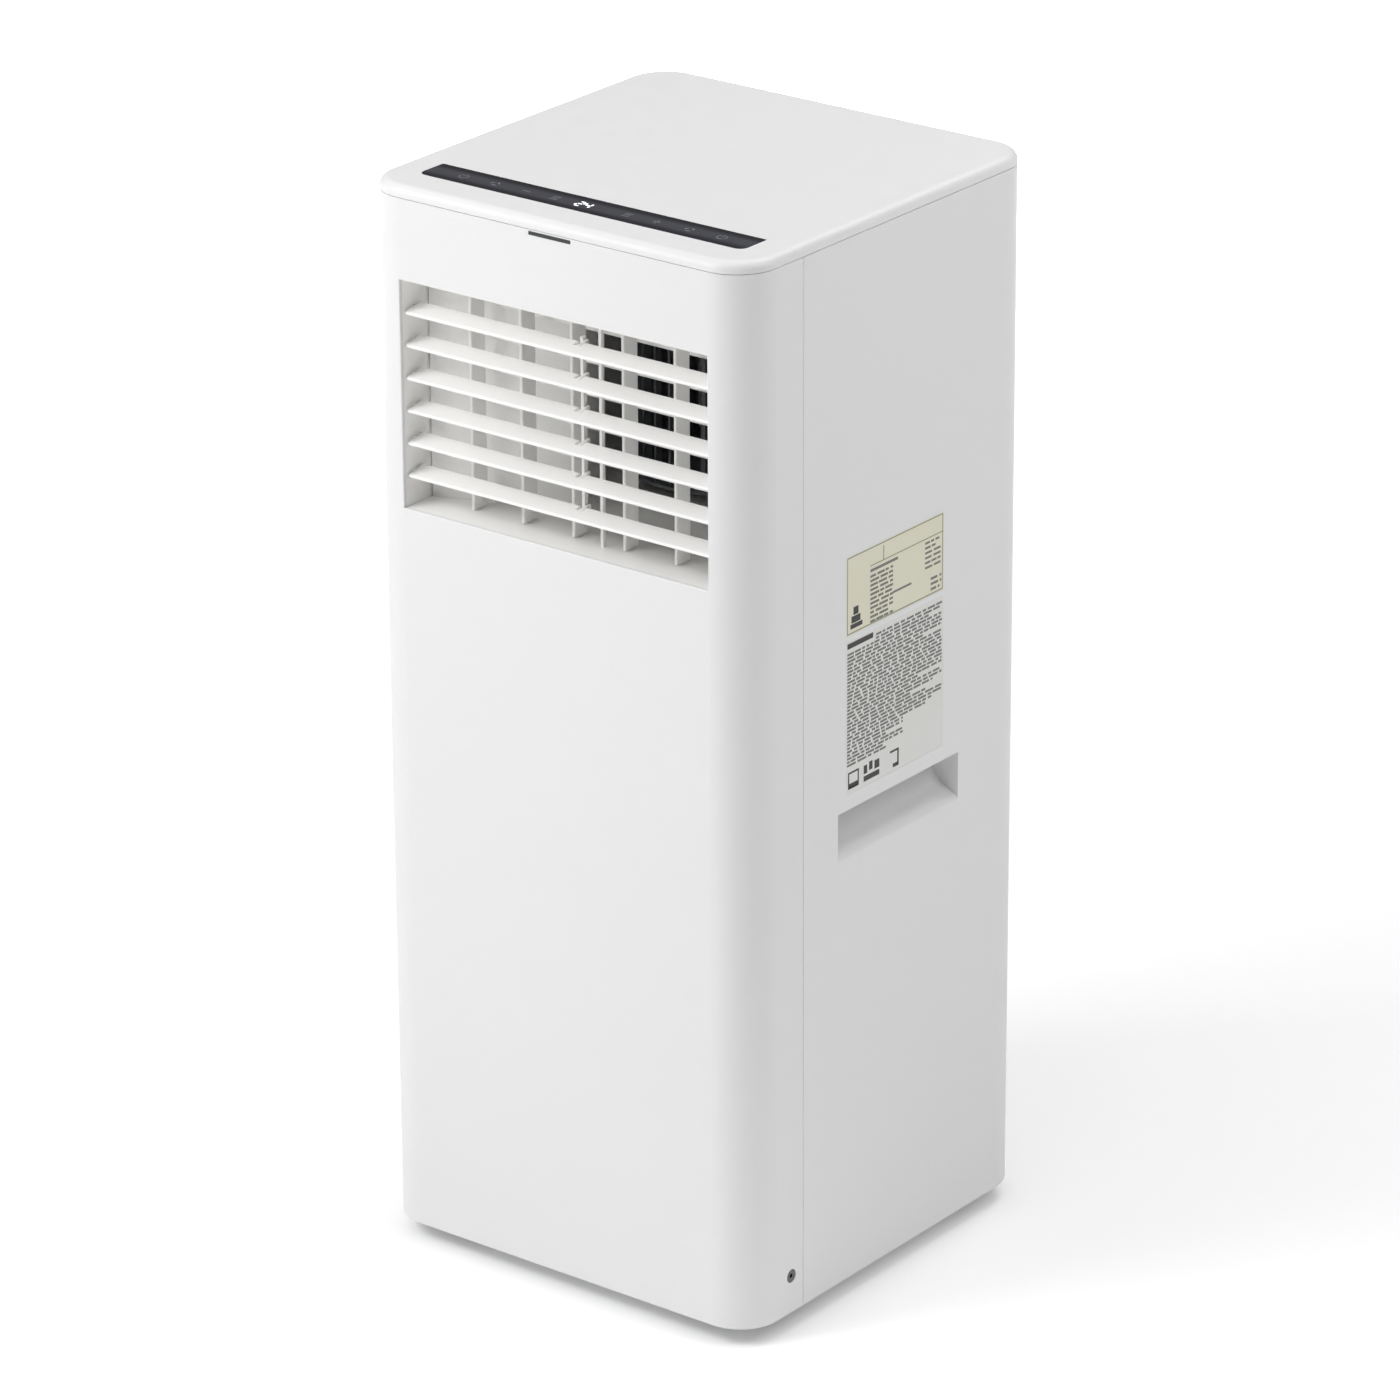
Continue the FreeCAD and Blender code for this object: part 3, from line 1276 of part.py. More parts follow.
def main_board():
    body = new_body("main_board_body")
    box_pad(body, "board", "53", "127", "-73.6", "-72", "115", "180")
    box_pad(body, "relay", "58", "78", "-90", "-73.6", "250", "28")
    box_pad(body, "transformer", "88", "122", "-98", "-73.6", "230", "36")
    box_pad(body, "terminals", "58", "122", "-84", "-73.6", "200", "14")
    post = sketch_on(body, "post_outline", "XZ", "66")
    for across in ("57", "123"):
        circle(post, across, "120", "2.5")
        circle(post, across, "290", "2.5")
    pad(body, "posts", post, "6.5")
    return listed(body, "main_board")


def run_capacitor():
    capacitor = primitive("Cylinder", "capacitor_can", ("104", "-104", "112"), Radius="18", Height="64")
    return listed(capacitor, "run_capacitor")


# ---- assembly -------------------------------------------------------------------

front_shell()
rear_shell()
top_cover()
control_strip()
control_board()
badge_bar()
side_label("rating_label", "rating_low", "rating_high")
side_label("notice_label", "notice_low", "notice_high")
base_pan()
for index, (side, depth) in enumerate(CORNER_SIGNS, start=1):
    caster_fork(index, side + "caster_place", depth + "caster_place")
    caster_wheel(index, side + "caster_place", depth + "caster_place")
casing_screws()
outlet_frame()
for index in range(1, int(size("blade_count")) + 1):
    blade(index)
blade_link()
for index, slot in enumerate(vane_numbers(), start=1):
    vane(index, slot)
vane_link()
evaporator_scroll()
condenser_scroll()
evaporator_fan()
condenser_fan()
evaporator_motor()
condenser_motor()
evaporator_shaft()
condenser_shaft()
exhaust_duct()
exhaust_collar()
lower_intake_grille()
filter_frame()
filter_mesh()
drain_plug("upper_drain_plug", "upper_drain")
drain_plug("lower_drain_plug", "lower_drain")
cord_gland()
coil("evaporator_coil", "434", "672", 6)
coil("condenser_coil", "60", "280", 6)
drain_deck()
compressor()
compressor_grommets()
accumulator()
pipework()
electrical_box()
main_board()
run_capacitor()

doc.recompute()

faults = []
for item in doc.Objects:
    if "Invalid" in item.State or "Error" in item.State:
        faults.append("%s (%s): %s" % (item.Name, item.Label, item.State))
for sub_part in sub_parts:
    if sub_part.Shape.isNull() or not sub_part.Shape.isValid():
        faults.append("%s has no valid shape" % sub_part.Label)
if faults:
    raise RuntimeError("; ".join(faults))

os.makedirs("parts", exist_ok=True)
for sub_part in sub_parts:
    sub_part.Shape.exportStep(os.path.join("parts", sub_part.Label + ".step"))
    print("%-22s solids %d  volume %.0f" % (
        sub_part.Label, len(sub_part.Shape.Solids), sub_part.Shape.Volume))
print(len(sub_parts), "sub-parts")
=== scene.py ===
"""Looks of the portable air conditioner: materials, prints, fine detail, studio and camera."""

import math
import random

import bmesh
import bpy
from mathutils import Matrix, Vector


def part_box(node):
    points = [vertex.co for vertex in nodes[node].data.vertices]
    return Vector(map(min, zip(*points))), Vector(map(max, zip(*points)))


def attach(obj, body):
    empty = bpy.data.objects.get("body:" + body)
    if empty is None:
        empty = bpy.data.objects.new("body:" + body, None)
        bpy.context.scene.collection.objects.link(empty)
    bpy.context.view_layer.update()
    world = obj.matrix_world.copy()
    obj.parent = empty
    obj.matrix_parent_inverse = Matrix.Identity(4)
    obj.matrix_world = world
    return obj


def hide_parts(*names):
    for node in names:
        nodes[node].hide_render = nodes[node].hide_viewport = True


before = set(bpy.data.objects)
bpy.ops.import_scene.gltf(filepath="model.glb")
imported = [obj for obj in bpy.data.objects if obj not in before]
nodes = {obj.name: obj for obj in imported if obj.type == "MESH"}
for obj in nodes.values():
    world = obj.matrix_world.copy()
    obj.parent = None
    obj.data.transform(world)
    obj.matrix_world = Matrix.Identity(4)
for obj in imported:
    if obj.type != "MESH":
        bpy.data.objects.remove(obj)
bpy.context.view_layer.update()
MM = 0.001
PRINT_THICK = 0.04 * MM


# ---- materials ---------------------------------------------------------------

class Finish:
    """A Principled material, built one node at a time."""

    def __init__(self, name, **constants):
        self.material = bpy.data.materials.new(name)
        self.material.use_nodes = True
        self.tree = self.material.node_tree
        self.shader = self.tree.nodes["Principled BSDF"]
        for socket, value in constants.items():
            self.shader.inputs[socket.replace("_", " ")].default_value = value
        self.place = self.add("ShaderNodeTexCoord").outputs["Object"]

    def add(self, kind, links=None, **settings):
        node = self.tree.nodes.new(kind)
        for key, value in settings.items():
            setattr(node, key, value)
        for socket, value in (links or {}).items():
            if isinstance(value, bpy.types.NodeSocket):
                self.tree.links.new(value, node.inputs[socket])
            else:
                node.inputs[socket].default_value = value
        return node

    def noise(self, scale, detail=2.0, stretch=None):
        place = self.place
        if stretch:
            place = self.add("ShaderNodeMapping", {"Vector": place, "Scale": stretch}).outputs[0]
        return self.add("ShaderNodeTexNoise",
                        {"Vector": place, "Scale": scale, "Detail": detail}).outputs[0]

    def wave(self, pitch, direction, offset=0.0):
        """Stripes one pitch apart, in metres, as a smooth value from 0 to 1."""
        axis = self.add("ShaderNodeSeparateXYZ", {"Vector": self.place}).outputs[direction]
        turn = self.math("MULTIPLY_ADD", axis, 2 * math.pi / pitch, offset)
        return self.math("MULTIPLY_ADD", self.math("SINE", turn), 0.5, 0.5)

    def math(self, operation, *values):
        node = self.add("ShaderNodeMath", operation=operation)
        for number, value in enumerate(values):
            if isinstance(value, bpy.types.NodeSocket):
                self.tree.links.new(value, node.inputs[number])
            else:
                node.inputs[number].default_value = value
        return node.outputs[0]

    def spread(self, value, low, high, start=0.3, stop=0.7):
        return self.add("ShaderNodeMapRange",
                        {"Value": value, "From Min": start, "From Max": stop,
                         "To Min": low, "To Max": high}).outputs[0]

    def mix(self, factor, one, other):
        node = self.add("ShaderNodeMix", data_type="RGBA")
        self.tree.links.new(factor, node.inputs[0])
        for socket, value in ((node.inputs[6], one), (node.inputs[7], other)):
            if isinstance(value, bpy.types.NodeSocket):
                self.tree.links.new(value, socket)
            else:
                socket.default_value = (*value, 1)
        return node.outputs[2]

    def colour(self, socket):
        self.tree.links.new(socket, self.shader.inputs["Base Color"])

    def roughness(self, socket):
        self.tree.links.new(socket, self.shader.inputs["Roughness"])

    def bump(self, height, depth, strength=1.0):
        """Relief whose full height is depth, in metres."""
        node = self.add("ShaderNodeBump", {"Height": height, "Strength": strength, "Distance": depth})
        self.tree.links.new(node.outputs[0], self.shader.inputs["Normal"])


def shade(colour, amount):
    return tuple(min(1.0, channel * amount) for channel in colour)


def moulded(name, colour, roughness, grain=0.9, depth=0.012, variety=0.02, **constants):
    """Injection-moulded plastic: fine spark-eroded grain, and a slow drift in tone and gloss."""
    finish = Finish(name, **constants)
    drift = finish.noise(9.0, 3.0)
    finish.colour(finish.mix(drift, shade(colour, 1 - variety), shade(colour, 1 + variety)))
    gloss = finish.noise(70.0, 4.0)
    finish.roughness(finish.spread(gloss, roughness - 0.05, roughness + 0.05))
    finish.bump(finish.noise(1000.0 / grain, 3.0), depth * MM)
    return finish.material


def metal(name, colour, roughness, stretch=(1, 1, 1), scale=300.0, stain=0.12):
    """Bare metal with drawn or rolled streaks and slight tarnish."""
    finish = Finish(name, Metallic=1.0)
    streak = finish.noise(scale, 4.0, stretch)
    tarnish = finish.noise(40.0, 5.0)
    clean = finish.mix(streak, shade(colour, 0.92), shade(colour, 1.05))
    finish.colour(finish.mix(finish.spread(tarnish, 0.0, stain * 3, 0.45, 0.8), clean,
                             shade(colour, 0.55)))
    finish.roughness(finish.spread(streak, roughness - 0.08, roughness + 0.1))
    finish.bump(streak, 0.01 * MM)
    return finish.material


def strip_film():
    """Dark acrylic with a painted highlight: a lighter band along its middle, darker towards both edges.
    """
    finish = Finish("strip_acrylic", IOR=1.49, Coat_Weight=0.25, Coat_Roughness=0.05)
    low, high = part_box("control_strip")
    middle = (low.y + high.y) / 2
    across = finish.add("ShaderNodeSeparateXYZ", {"Vector": finish.place}).outputs[1]
    offset = finish.math("ABSOLUTE", finish.math("SUBTRACT", across, middle))
    # painted highlight: the middle of the strip is coloured lighter and its edges darker, as if lit along
    # the middle
    painted_highlight_band = finish.spread(offset, 1.0, 0.0, 3.5 * MM, 8.5 * MM)
    cloud = finish.noise(120.0, 3.0)
    tone = finish.mix(cloud, (0.058, 0.059, 0.068), (0.074, 0.075, 0.086))
    finish.colour(finish.mix(painted_highlight_band, (0.020, 0.020, 0.026), tone))
    finish.roughness(finish.spread(finish.noise(260.0, 4.0), 0.16, 0.26))
    finish.bump(finish.noise(900.0, 2.0), 0.002 * MM)
    return finish.material


def label_film(name, colour):
    """Matt vinyl: faint paper fibre and a little yellowing."""
    finish = Finish(name, IOR=1.45)
    fibre = finish.noise(1400.0, 4.0, (1, 1, 0.35))
    age = finish.noise(22.0, 3.0)
    clean = finish.mix(fibre, shade(colour, 0.97), shade(colour, 1.02))
    finish.colour(finish.mix(finish.spread(age, 0.0, 0.25), clean,
                             (colour[0] * 0.95, colour[1] * 0.91, colour[2] * 0.80)))
    finish.roughness(finish.spread(fibre, 0.42, 0.60))
    finish.bump(fibre, 0.008 * MM)
    return finish.material


def ink(name, colour):
    """Printing ink with uneven cover."""
    finish = Finish(name, IOR=1.45)
    cover = finish.noise(2600.0, 3.0)
    finish.colour(finish.mix(cover, colour, shade(colour, 1.35)))
    finish.roughness(finish.spread(cover, 0.45, 0.65))
    return finish.material


def net_thread():
    """Nylon filter thread with a little dust."""
    finish = Finish("net_nylon", IOR=1.53)
    dust = finish.noise(260.0, 5.0)
    finish.colour(finish.mix(finish.spread(dust, 0.0, 1.0, 0.45, 0.75),
                             (0.035, 0.037, 0.043), (0.13, 0.125, 0.115)))
    finish.roughness(finish.spread(dust, 0.45, 0.8))
    finish.bump(finish.noise(3500.0, 2.0), 0.02 * MM)
    return finish.material


def solder_mask():
    """Green board with copper tracks under the lacquer."""
    finish = Finish("board_lacquer", IOR=1.5, Coat_Weight=0.3)
    cells = finish.add("ShaderNodeTexVoronoi",
                       {"Vector": finish.place, "Scale": 180.0, "Randomness": 0.4},
                       feature="DISTANCE_TO_EDGE", distance="EUCLIDEAN").outputs[0]
    track = finish.spread(cells, 1.0, 0.0, 0.03, 0.06)
    finish.colour(finish.mix(track, (0.008, 0.085, 0.035), (0.03, 0.17, 0.06)))
    finish.roughness(finish.spread(finish.noise(500.0), 0.28, 0.42))
    finish.bump(track, 0.04 * MM)
    return finish.material


def finned():
    """Stacked aluminium fins, seen edge on, with the gaps between them coloured dark as painted shade."""
    finish = Finish("coil_fins", Metallic=1.0)
    ridges_and_gap_shade = finish.wave(1.6 * MM, 0)
    dirt = finish.noise(55.0, 5.0)
    bright = finish.mix(finish.spread(dirt, 0.0, 0.5, 0.4, 0.8), (0.72, 0.73, 0.75),
                        (0.42, 0.41, 0.38))
    # painted shade: near-black stripes where the gaps between fins fall in shade; the same stripes also
    # drive the real ridge relief
    finish.colour(finish.mix(finish.spread(ridges_and_gap_shade, 0.0, 1.0, 0.35, 0.6), (0.04, 0.04, 0.045), bright))
    finish.roughness(finish.spread(finish.noise(700.0), 0.3, 0.5))
    finish.bump(ridges_and_gap_shade, 0.5 * MM)
    return finish.material


WHITE = (0.80, 0.80, 0.80)
# Outlet parts: the casing's white plastic with a faint cream tint, made lighter than the casing as painted
# light for light bouncing round inside the outlet.
CREAM_PAINTED_LIGHTER = (0.945, 0.94, 0.925)

LOOKS = {
    "casing_white": moulded("casing_plastic", WHITE, 0.42, variety=0.006, depth=0.010, IOR=1.5),
    "outlet_white": moulded("outlet_plastic_painted_lighter", CREAM_PAINTED_LIGHTER, 0.45, variety=0.008, depth=0.010, IOR=1.5),
    "strip_black": strip_film(),
    "badge_grey": moulded("badge_plastic", (0.045, 0.047, 0.052), 0.22, depth=0.002, IOR=1.5),
    "board_green": solder_mask(),
    "label_cream": label_film("label_cream_vinyl", (0.78, 0.765, 0.62)),
    "label_white": label_film("label_white_vinyl", (0.78, 0.78, 0.765)),
    "base_grey": moulded("base_plastic", (0.33, 0.335, 0.34), 0.5, variety=0.04),
    "caster_black": moulded("caster_nylon", (0.02, 0.02, 0.022), 0.42, variety=0.1),
    "wheel_grey": moulded("wheel_rubber", (0.075, 0.075, 0.08), 0.65, grain=0.6, depth=0.03,
                          variety=0.1),
    "screw_steel": metal("screw_plating", (0.16, 0.16, 0.165), 0.38, scale=900.0),
    "shaft_steel": metal("shaft_turned", (0.58, 0.58, 0.60), 0.28, (1, 1, 12)),
    "housing_black": moulded("housing_plastic", (0.017, 0.017, 0.019), 0.55, depth=0.03,
                             variety=0.1),
    "fan_grey": moulded("fan_plastic", (0.085, 0.09, 0.095), 0.5, variety=0.06),
    "motor_steel": metal("motor_plate", (0.60, 0.61, 0.62), 0.36, (1, 1, 4), 120.0),
    "filter_mesh": net_thread(),
    "plug_rubber": moulded("plug_rubber_black", (0.02, 0.02, 0.021), 0.7, grain=0.5, depth=0.03,
                           variety=0.12),
    "coil_aluminium": finned(),
    "compressor_black": moulded("compressor_paint", (0.012, 0.012, 0.014), 0.35, grain=2.5,
                                depth=0.05, variety=0.1),
    "pipe_copper": metal("pipe_copper_drawn", (0.80, 0.42, 0.27), 0.3, (1, 1, 5), 150.0, 0.3),
}

CAN = metal("capacitor_can", (0.74, 0.75, 0.76), 0.34, (1, 1, 3), 140.0)

for node in nodes.values():
    for slot in node.material_slots:
        slot.material = LOOKS[slot.material.name.split(".")[0]]
nodes["run_capacitor"].material_slots[0].material = CAN


# ---- pieces from mesh code ---------------------------------------------------

def piece(name, mesh, material, body):
    """Turn a finished bmesh into an object that rides on a body."""
    data = bpy.data.meshes.new(name)
    mesh.to_mesh(data)
    mesh.free()
    item = bpy.data.objects.new(name, data)
    bpy.context.scene.collection.objects.link(item)
    data.materials.append(material)
    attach(item, body)
    return item


def slab(mesh, outline, base, thickness, axes):
    """Closed flat plate: outline points in a plane, raised along the third axis."""
    across, along, raised = axes

    def corner(point, height):
        place = [0.0, 0.0, 0.0]
        place[across], place[along], place[raised] = point[0], point[1], height
        return mesh.verts.new(place)

    low = [corner(point, base) for point in outline]
    high = [corner(point, base + thickness) for point in outline]
    mesh.faces.new(list(reversed(low)))
    mesh.faces.new(high)
    count = len(outline)
    for number in range(count):
        after = (number + 1) % count
        mesh.faces.new((low[number], low[after], high[after], high[number]))


def bar(left, right, low, high, cut=0.0):
    """Rectangle with its corners cut, as outline points."""
    if cut <= 0:
        return [(left, low), (right, low), (right, high), (left, high)]
    return [(left + cut, low), (right - cut, low), (right, low + cut), (right, high - cut),
            (right - cut, high), (left + cut, high), (left, high - cut), (left, low + cut)]


def arc_band(centre, radius, width, start, stop, steps=14):
    """Part of a ring, as outline points; angles in degrees."""
    turn = [math.radians(start + (stop - start) * step / steps) for step in range(steps + 1)]
    outer = [(centre[0] + radius * math.cos(a), centre[1] + radius * math.sin(a)) for a in turn]
    inner = [(centre[0] + (radius - width) * math.cos(a), centre[1] + (radius - width) * math.sin(a))
             for a in reversed(turn)]
    return outer + inner


FLAT = (0, 1, 2)
SIDE = (1, 2, 0)


# Touch keys from left to right: place across the strip in mm, and what its icon shows.
TOUCH_KEYS = ((-96, "power"), (-72, "blades"), (-48, "minus"), (-26, "lines"),
              (28, "lines"), (50, "plus"), (74, "blades"), (98, "power"))


def icon_outlines(kind, centre):
    """Outlines of one generic touch icon, made of plain rings and bars."""

    def strokes(*boxes):
        return [bar(centre[0] + left * MM, centre[0] + right * MM,
                    centre[1] + low * MM, centre[1] + high * MM) for left, right, low, high in boxes]

    if kind == "power":
        return [arc_band(centre, 3.4 * MM, 0.7 * MM, 120, 420)] + strokes((-0.35, 0.35, 1, 4))
    if kind == "blades":
        return [arc_band(centre, 3.2 * MM, 1.3 * MM, turn + 10, turn + 80, 8) for turn in (0, 120, 240)]
    if kind == "lines":
        return strokes(*[(-2.6, 2.6, lift - 0.4, lift + 0.4) for lift in (-2.4, 0.0, 2.4)])
    level = (-3, 3, -0.4, 0.4)
    if kind == "minus":
        return strokes(level)
    return strokes(level, (-0.4, 0.4, 0.6, 3), (-0.4, 0.4, -3, -0.6))


def strip_print():
    """Touch icons printed on the control strip."""
    low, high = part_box("control_strip")
    middle = (low.y + high.y) / 2
    icons = bmesh.new()
    for across, kind in TOUCH_KEYS:
        for outline in icon_outlines(kind, (across * MM, middle)):
            slab(icons, outline, high.z, PRINT_THICK, FLAT)
    piece("strip_icons", icons, ink("strip_ink", (0.14, 0.145, 0.18)), "casing")


# Lit bars of each digit, lettered clockwise from the top one; "g" is the middle bar.
SEGMENTS = {"2": "abged", "4": "fgbc"}
DIGIT_PLACES = (("2", -7.4 * MM), ("4", -1.6 * MM))


def display_digits():
    """Two seven-bar digits that stand for the lit temperature display."""
    low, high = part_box("control_strip")
    middle = (low.y + high.y) / 2
    digits = bmesh.new()
    wide, tall, line = 2.1 * MM, 3.6 * MM, 1.25 * MM
    for digit, centre in DIGIT_PLACES:
        places = {
            "a": (centre, middle + tall, True), "g": (centre, middle, True),
            "d": (centre, middle - tall, True),
            "f": (centre - wide, middle + tall / 2, False), "b": (centre + wide, middle + tall / 2, False),
            "e": (centre - wide, middle - tall / 2, False), "c": (centre + wide, middle - tall / 2, False),
        }
        for name in SEGMENTS[digit]:
            x, y, flat = places[name]
            reach, half = (wide - line * 0.4, line / 2) if flat else (line / 2, tall / 2 - line * 0.4)
            slab(digits, bar(x - reach, x + reach, y - half, y + half, line * 0.3), high.z,
                 0.05 * MM, FLAT)
    finish = Finish("display_light", IOR=1.45, Emission_Strength=0.9)
    glow = finish.noise(500.0)
    tone = finish.mix(glow, (0.93, 0.97, 1.0), (1.0, 1.0, 1.0))
    finish.colour(tone)
    finish.tree.links.new(tone, finish.shader.inputs["Emission Color"])
    finish.roughness(finish.spread(glow, 0.3, 0.45))
    piece("display_digits", digits, finish.material, "casing")


def side_print(name, node, rows, material):
    """Printed boxes on a side label: (left, right, bottom, top) in mm from its upper front corner."""
    low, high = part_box(node)
    marks = bmesh.new()
    for left, right, bottom, top in rows:
        slab(marks, bar(low.y + left * MM, low.y + right * MM, high.z - top * MM, high.z - bottom * MM),
             high.x, PRINT_THICK, SIDE)
    piece(name, marks, material, "casing")


def word_rows(seed, left, right, first, last, pitch, height, gap=(0.8, 2.2), word=(2.5, 9.0)):
    """Broken lines that stand for small print, one pitch apart from the first depth to the last."""
    chance = random.Random(seed)
    rows = []
    depth = first
    while depth < last:
        place = left
        stop = right - chance.uniform(0, 0.35) * (right - left) * (chance.random() < 0.3)
        while place < stop - 1:
            length = min(chance.uniform(*word), stop - place)
            rows.append((place, place + length, depth + height, depth))
            place += length + chance.uniform(*gap)
        depth += pitch
    return rows


def frame_rows(left, right, top, bottom, line):
    """The four rules of a printed frame."""
    return [(left, right, top + line, top), (left, right, bottom, bottom - line),
            (left, left + line, bottom - line, top + line),
            (right - line, right, bottom - line, top + line)]


def label_prints():
    """Rules, small print and plain blocks of the two side labels; no real words or marks."""
    dark = ink("label_ink_dark", (0.045, 0.045, 0.045))
    grey = ink("label_ink_grey", (0.17, 0.17, 0.165))
    olive = ink("label_ink_olive", (0.25, 0.24, 0.17))
    rating = frame_rows(0.6, 98.4, 0.6, 49.9, 0.7)
    rating += [(24, 98, 12.6, 12.0), (37, 37.8, 12, 3)]
    side_print("rating_rules", "rating_label", rating, olive)
    words = [(24, 52, 16.4, 14.6)]
    words += word_rows(3, 24, 47, 18.5, 47.5, 2.9, 1.5, word=(3, 10))
    words += word_rows(4, 80, 96, 14.5, 31, 3.2, 1.4, word=(3, 8))
    words += word_rows(5, 86, 97, 39, 46, 3.4, 1.6, word=(3, 8)) + [(47, 66, 37, 35.6)]
    side_print("rating_words", "rating_label", words, grey)
    mark = [(7, 12, 38.5, 33.5), (5, 14, 43.5, 39.1), (4, 16, 47, 44.1)]
    side_print("rating_mark", "rating_label", mark, dark)
    notice = word_rows(6, 30, 98, 3, 7, 2.25, 1.45)
    notice += word_rows(7, 1, 98, 7.5, 66, 2.25, 1.45)
    notice += word_rows(8, 1, 58, 66, 80, 2.25, 1.45)
    side_print("notice_words", "notice_label", notice, grey)
    blocks = [(1, 27, 4.6, 1.2)]
    blocks += frame_rows(2, 13, 85, 96, 1.2) + [(3, 12, 96, 92.5)]
    blocks += [(18, 21.5, 91, 85.5), (23.5, 27, 90, 84.5), (29, 34, 91, 85.5), (18, 34, 96, 92.5)]
    blocks += [(45, 54, 86.4, 85), (52.5, 54, 95, 86), (48, 54, 96.5, 94)]
    side_print("notice_blocks", "notice_label", blocks, dark)


def woven_net():
    """Filter net of crossing threads, each going over and under the next."""
    low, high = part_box("filter_mesh")
    middle = (low.y + high.y) / 2
    pitch = 3.2 * MM
    radius = 0.32 * MM
    swing = 0.28 * MM
    net = bmesh.new()
    columns = int((high.x - low.x) / pitch)
    rows = int((high.z - low.z) / pitch)
    left = low.x + (high.x - low.x - columns * pitch) / 2
    bottom = low.z + (high.z - low.z - rows * pitch) / 2

    def thread(fixed, start, count, upright, phase):
        rings = []
        for step in range(2 * count + 1):
            run = start + step * pitch / 2
            wave = swing * math.cos(math.pi * step / 2 + phase)
            ring = []
            for corner in range(4):
                angle = math.pi / 4 + corner * math.pi / 2
                side = radius * math.cos(angle)
                lift = middle + wave + radius * math.sin(angle)
                place = (fixed + side, lift, run) if upright else (run, lift, fixed + side)
                ring.append(net.verts.new(place))
            rings.append(ring)
        for one, other in zip(rings, rings[1:]):
            for corner in range(4):
                after = (corner + 1) % 4
                net.faces.new((one[corner], one[after], other[after], other[corner]))
        net.faces.new(list(reversed(rings[0])))
        net.faces.new(rings[-1])

    for column in range(columns + 1):
        thread(left + column * pitch, bottom, rows, True, math.pi * (column % 2))
    for row in range(rows + 1):
        thread(bottom + row * pitch, left, columns, False, math.pi * ((row + 1) % 2))
    bmesh.ops.recalc_face_normals(net, faces=net.faces)
    item = piece("filter_net", net, LOOKS["filter_mesh"], "filter")
    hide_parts("filter_mesh")


strip_print()
display_digits()
label_prints()
woven_net()


# ---- studio ------------------------------------------------------------------

def pale_floor():
    """Wide sheet of white paper, lit a little from beneath."""
    mesh = bmesh.new()
    bmesh.ops.create_grid(mesh, x_segments=24, y_segments=24, size=40.0)
    data = bpy.data.meshes.new("studio_floor")
    mesh.to_mesh(data)
    mesh.free()
    floor = bpy.data.objects.new("studio_floor", data)
    bpy.context.scene.collection.objects.link(floor)
    finish = Finish("studio_paper", IOR=1.3)
    fibre = finish.noise(60.0, 3.0)
    finish.colour(finish.mix(fibre, (0.955, 0.955, 0.955), (0.975, 0.975, 0.975)))
    finish.roughness(finish.spread(fibre, 0.85, 0.95))
    finish.shader.inputs["Emission Color"].default_value = (1, 1, 1, 1)
    finish.shader.inputs["Emission Strength"].default_value = 0.19
    data.materials.append(finish.material)


def point_at(item, target):
    toward = Vector(target) - item.location
    item.rotation_euler = toward.to_track_quat("-Z", "Y").to_euler()


def softbox(name, place, target, width, height, power, spread=180):
    """Square-edged lamp, in metres and watts; spread is its beam angle in degrees."""
    light = bpy.data.lights.new(name, "AREA")
    light.shape = "RECTANGLE"
    light.size, light.size_y = width, height
    light.energy = power
    light.spread = math.radians(spread)
    item = bpy.data.objects.new(name, light)
    item.location = place
    point_at(item, target)
    bpy.context.scene.collection.objects.link(item)


def sky(name, place, strength, spread):
    """Broad even light from far off; spread is its width in degrees."""
    light = bpy.data.lights.new(name, "SUN")
    light.energy = strength
    light.angle = math.radians(spread)
    item = bpy.data.objects.new(name, light)
    item.location = place
    point_at(item, (0, 0, 0))
    bpy.context.scene.collection.objects.link(item)


def studio_air():
    world = bpy.data.worlds.new("studio_air")
    world.use_nodes = True
    background = world.node_tree.nodes["Background"]
    background.inputs["Color"].default_value = (1, 1, 1, 1)
    background.inputs["Strength"].default_value = 0.08
    bpy.context.scene.world = world


MOUTH = (0, -0.145, 0.62)

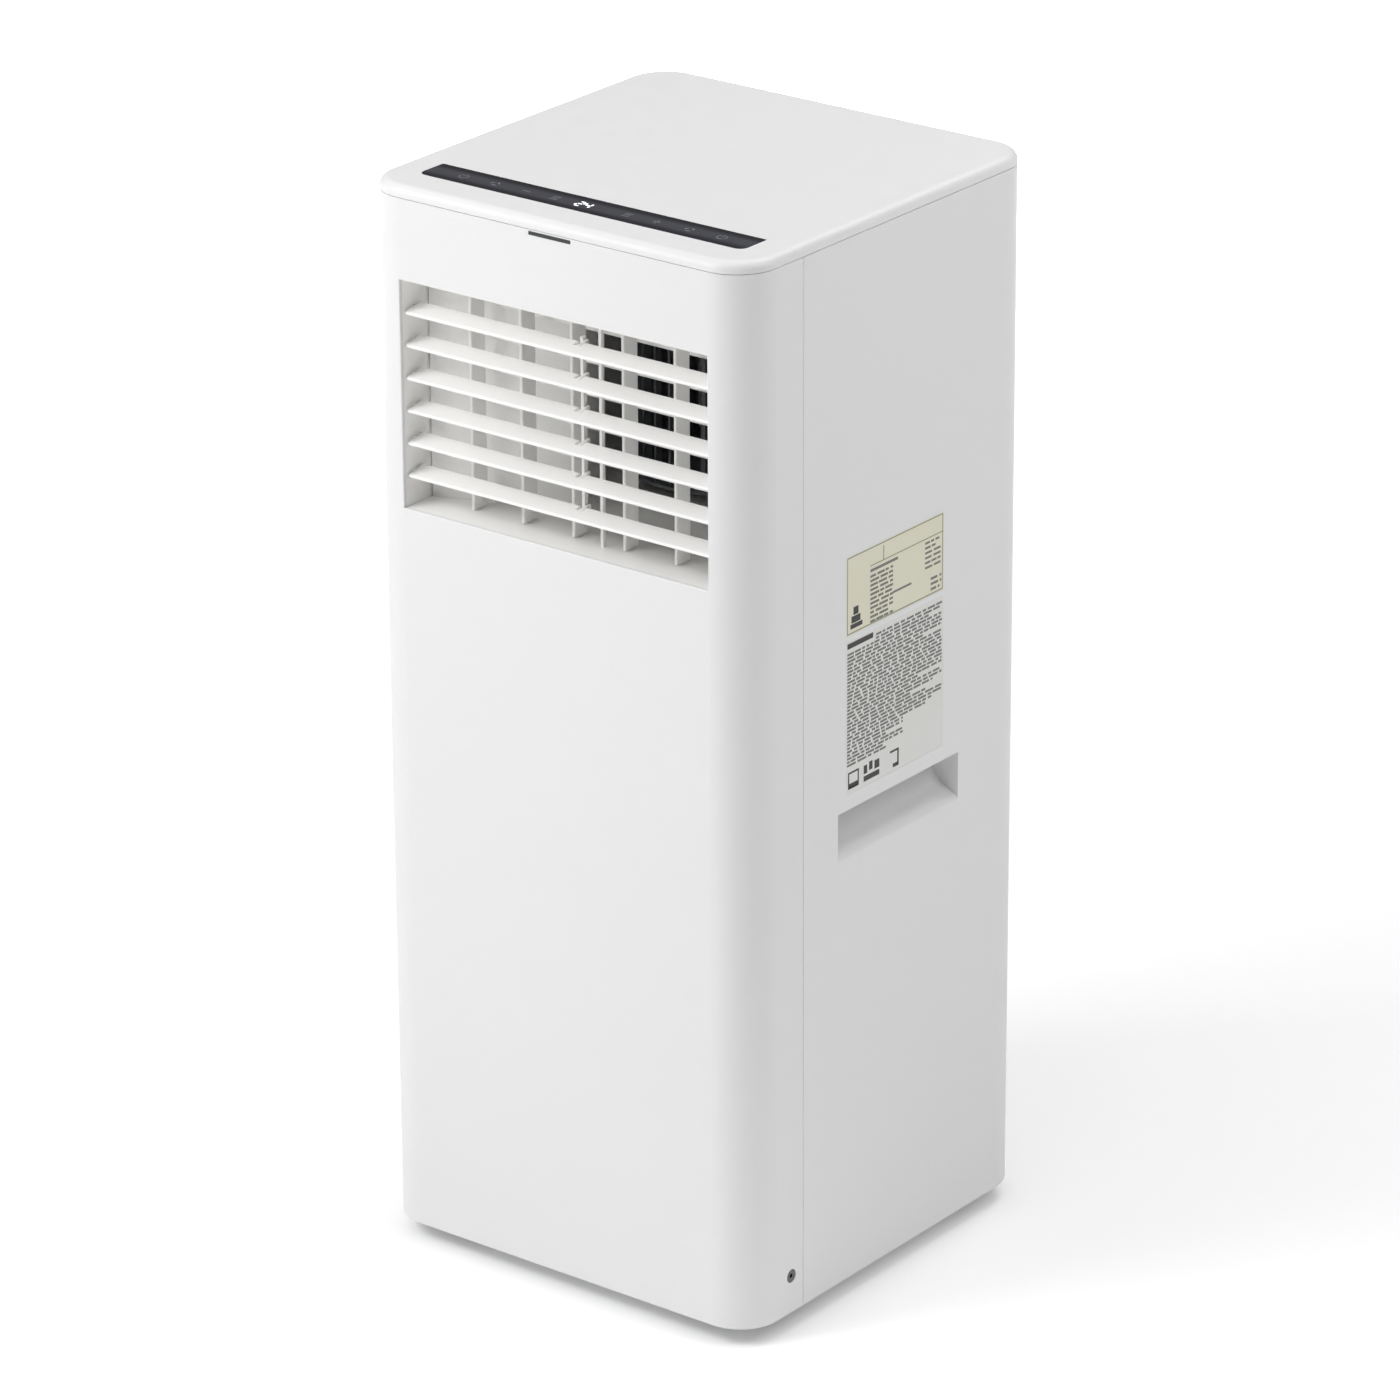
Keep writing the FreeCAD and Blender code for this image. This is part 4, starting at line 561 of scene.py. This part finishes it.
pale_floor()
studio_air()
sky("overhead", (-0.25, -0.55, 1.6), 0.80, 70)
sky("zenith", (0, 0, 1.6), 0.42, 120)
softbox("front_high", (-0.75, -1.15, 1.45), MOUTH, 0.8, 0.8, 14)
softbox("mouth", (-0.5, -1.3, 0.65), MOUTH, 0.5, 0.5, 1.5)
softbox("top_back", (0.3, 1.0, 2.0), (0, 0, 0.7), 0.8, 0.8, 9.5)
softbox("side_high", (1.35, 0.35, 1.65), (0.145, 0.05, 0.62), 0.8, 0.8, 8)
softbox("backdrop_left", (-2.5, 1.5, 1.5), (-2.3, 1.6, 0), 1.6, 1.6, 34, 80)
softbox("backdrop_right", (-1.3, 2.9, 1.5), (-1.2, 2.7, 0), 1.6, 1.6, 34, 80)


# ---- camera ------------------------------------------------------------------

# Camera: angles in degrees, then metres; the shifts move it in its own image plane.
AZIMUTH, ELEVATION, ROLL = 37.6621, 22.1527, -0.318
DISTANCE = 4.24507
SHIFT_RIGHT, SHIFT_UP = -1.7845 * MM, 0.7425 * MM
AIM_HEIGHT = 0.350


def photo_camera():
    azimuth, elevation, roll = (math.radians(angle) for angle in (AZIMUTH, ELEVATION, ROLL))
    back = Vector((math.sin(azimuth) * math.cos(elevation),
                   -math.cos(azimuth) * math.cos(elevation), math.sin(elevation)))
    right = Vector((math.cos(azimuth), math.sin(azimuth), 0))
    up = back.cross(right)
    turned_right = right * math.cos(roll) + up * math.sin(roll)
    turned_up = up * math.cos(roll) - right * math.sin(roll)
    place = (Vector((0, 0, AIM_HEIGHT)) + back * DISTANCE
             + turned_right * SHIFT_RIGHT + turned_up * SHIFT_UP)
    data = bpy.data.cameras.new("photo_camera")
    data.sensor_width = 36
    data.lens = 176.018
    camera = bpy.data.objects.new("photo_camera", data)
    turn = Matrix((turned_right, turned_up, back)).transposed().to_4x4()
    camera.matrix_world = Matrix.Translation(place) @ turn
    bpy.context.scene.collection.objects.link(camera)
    bpy.context.scene.camera = camera


photo_camera()
bpy.context.scene.view_settings.view_transform = "Standard"
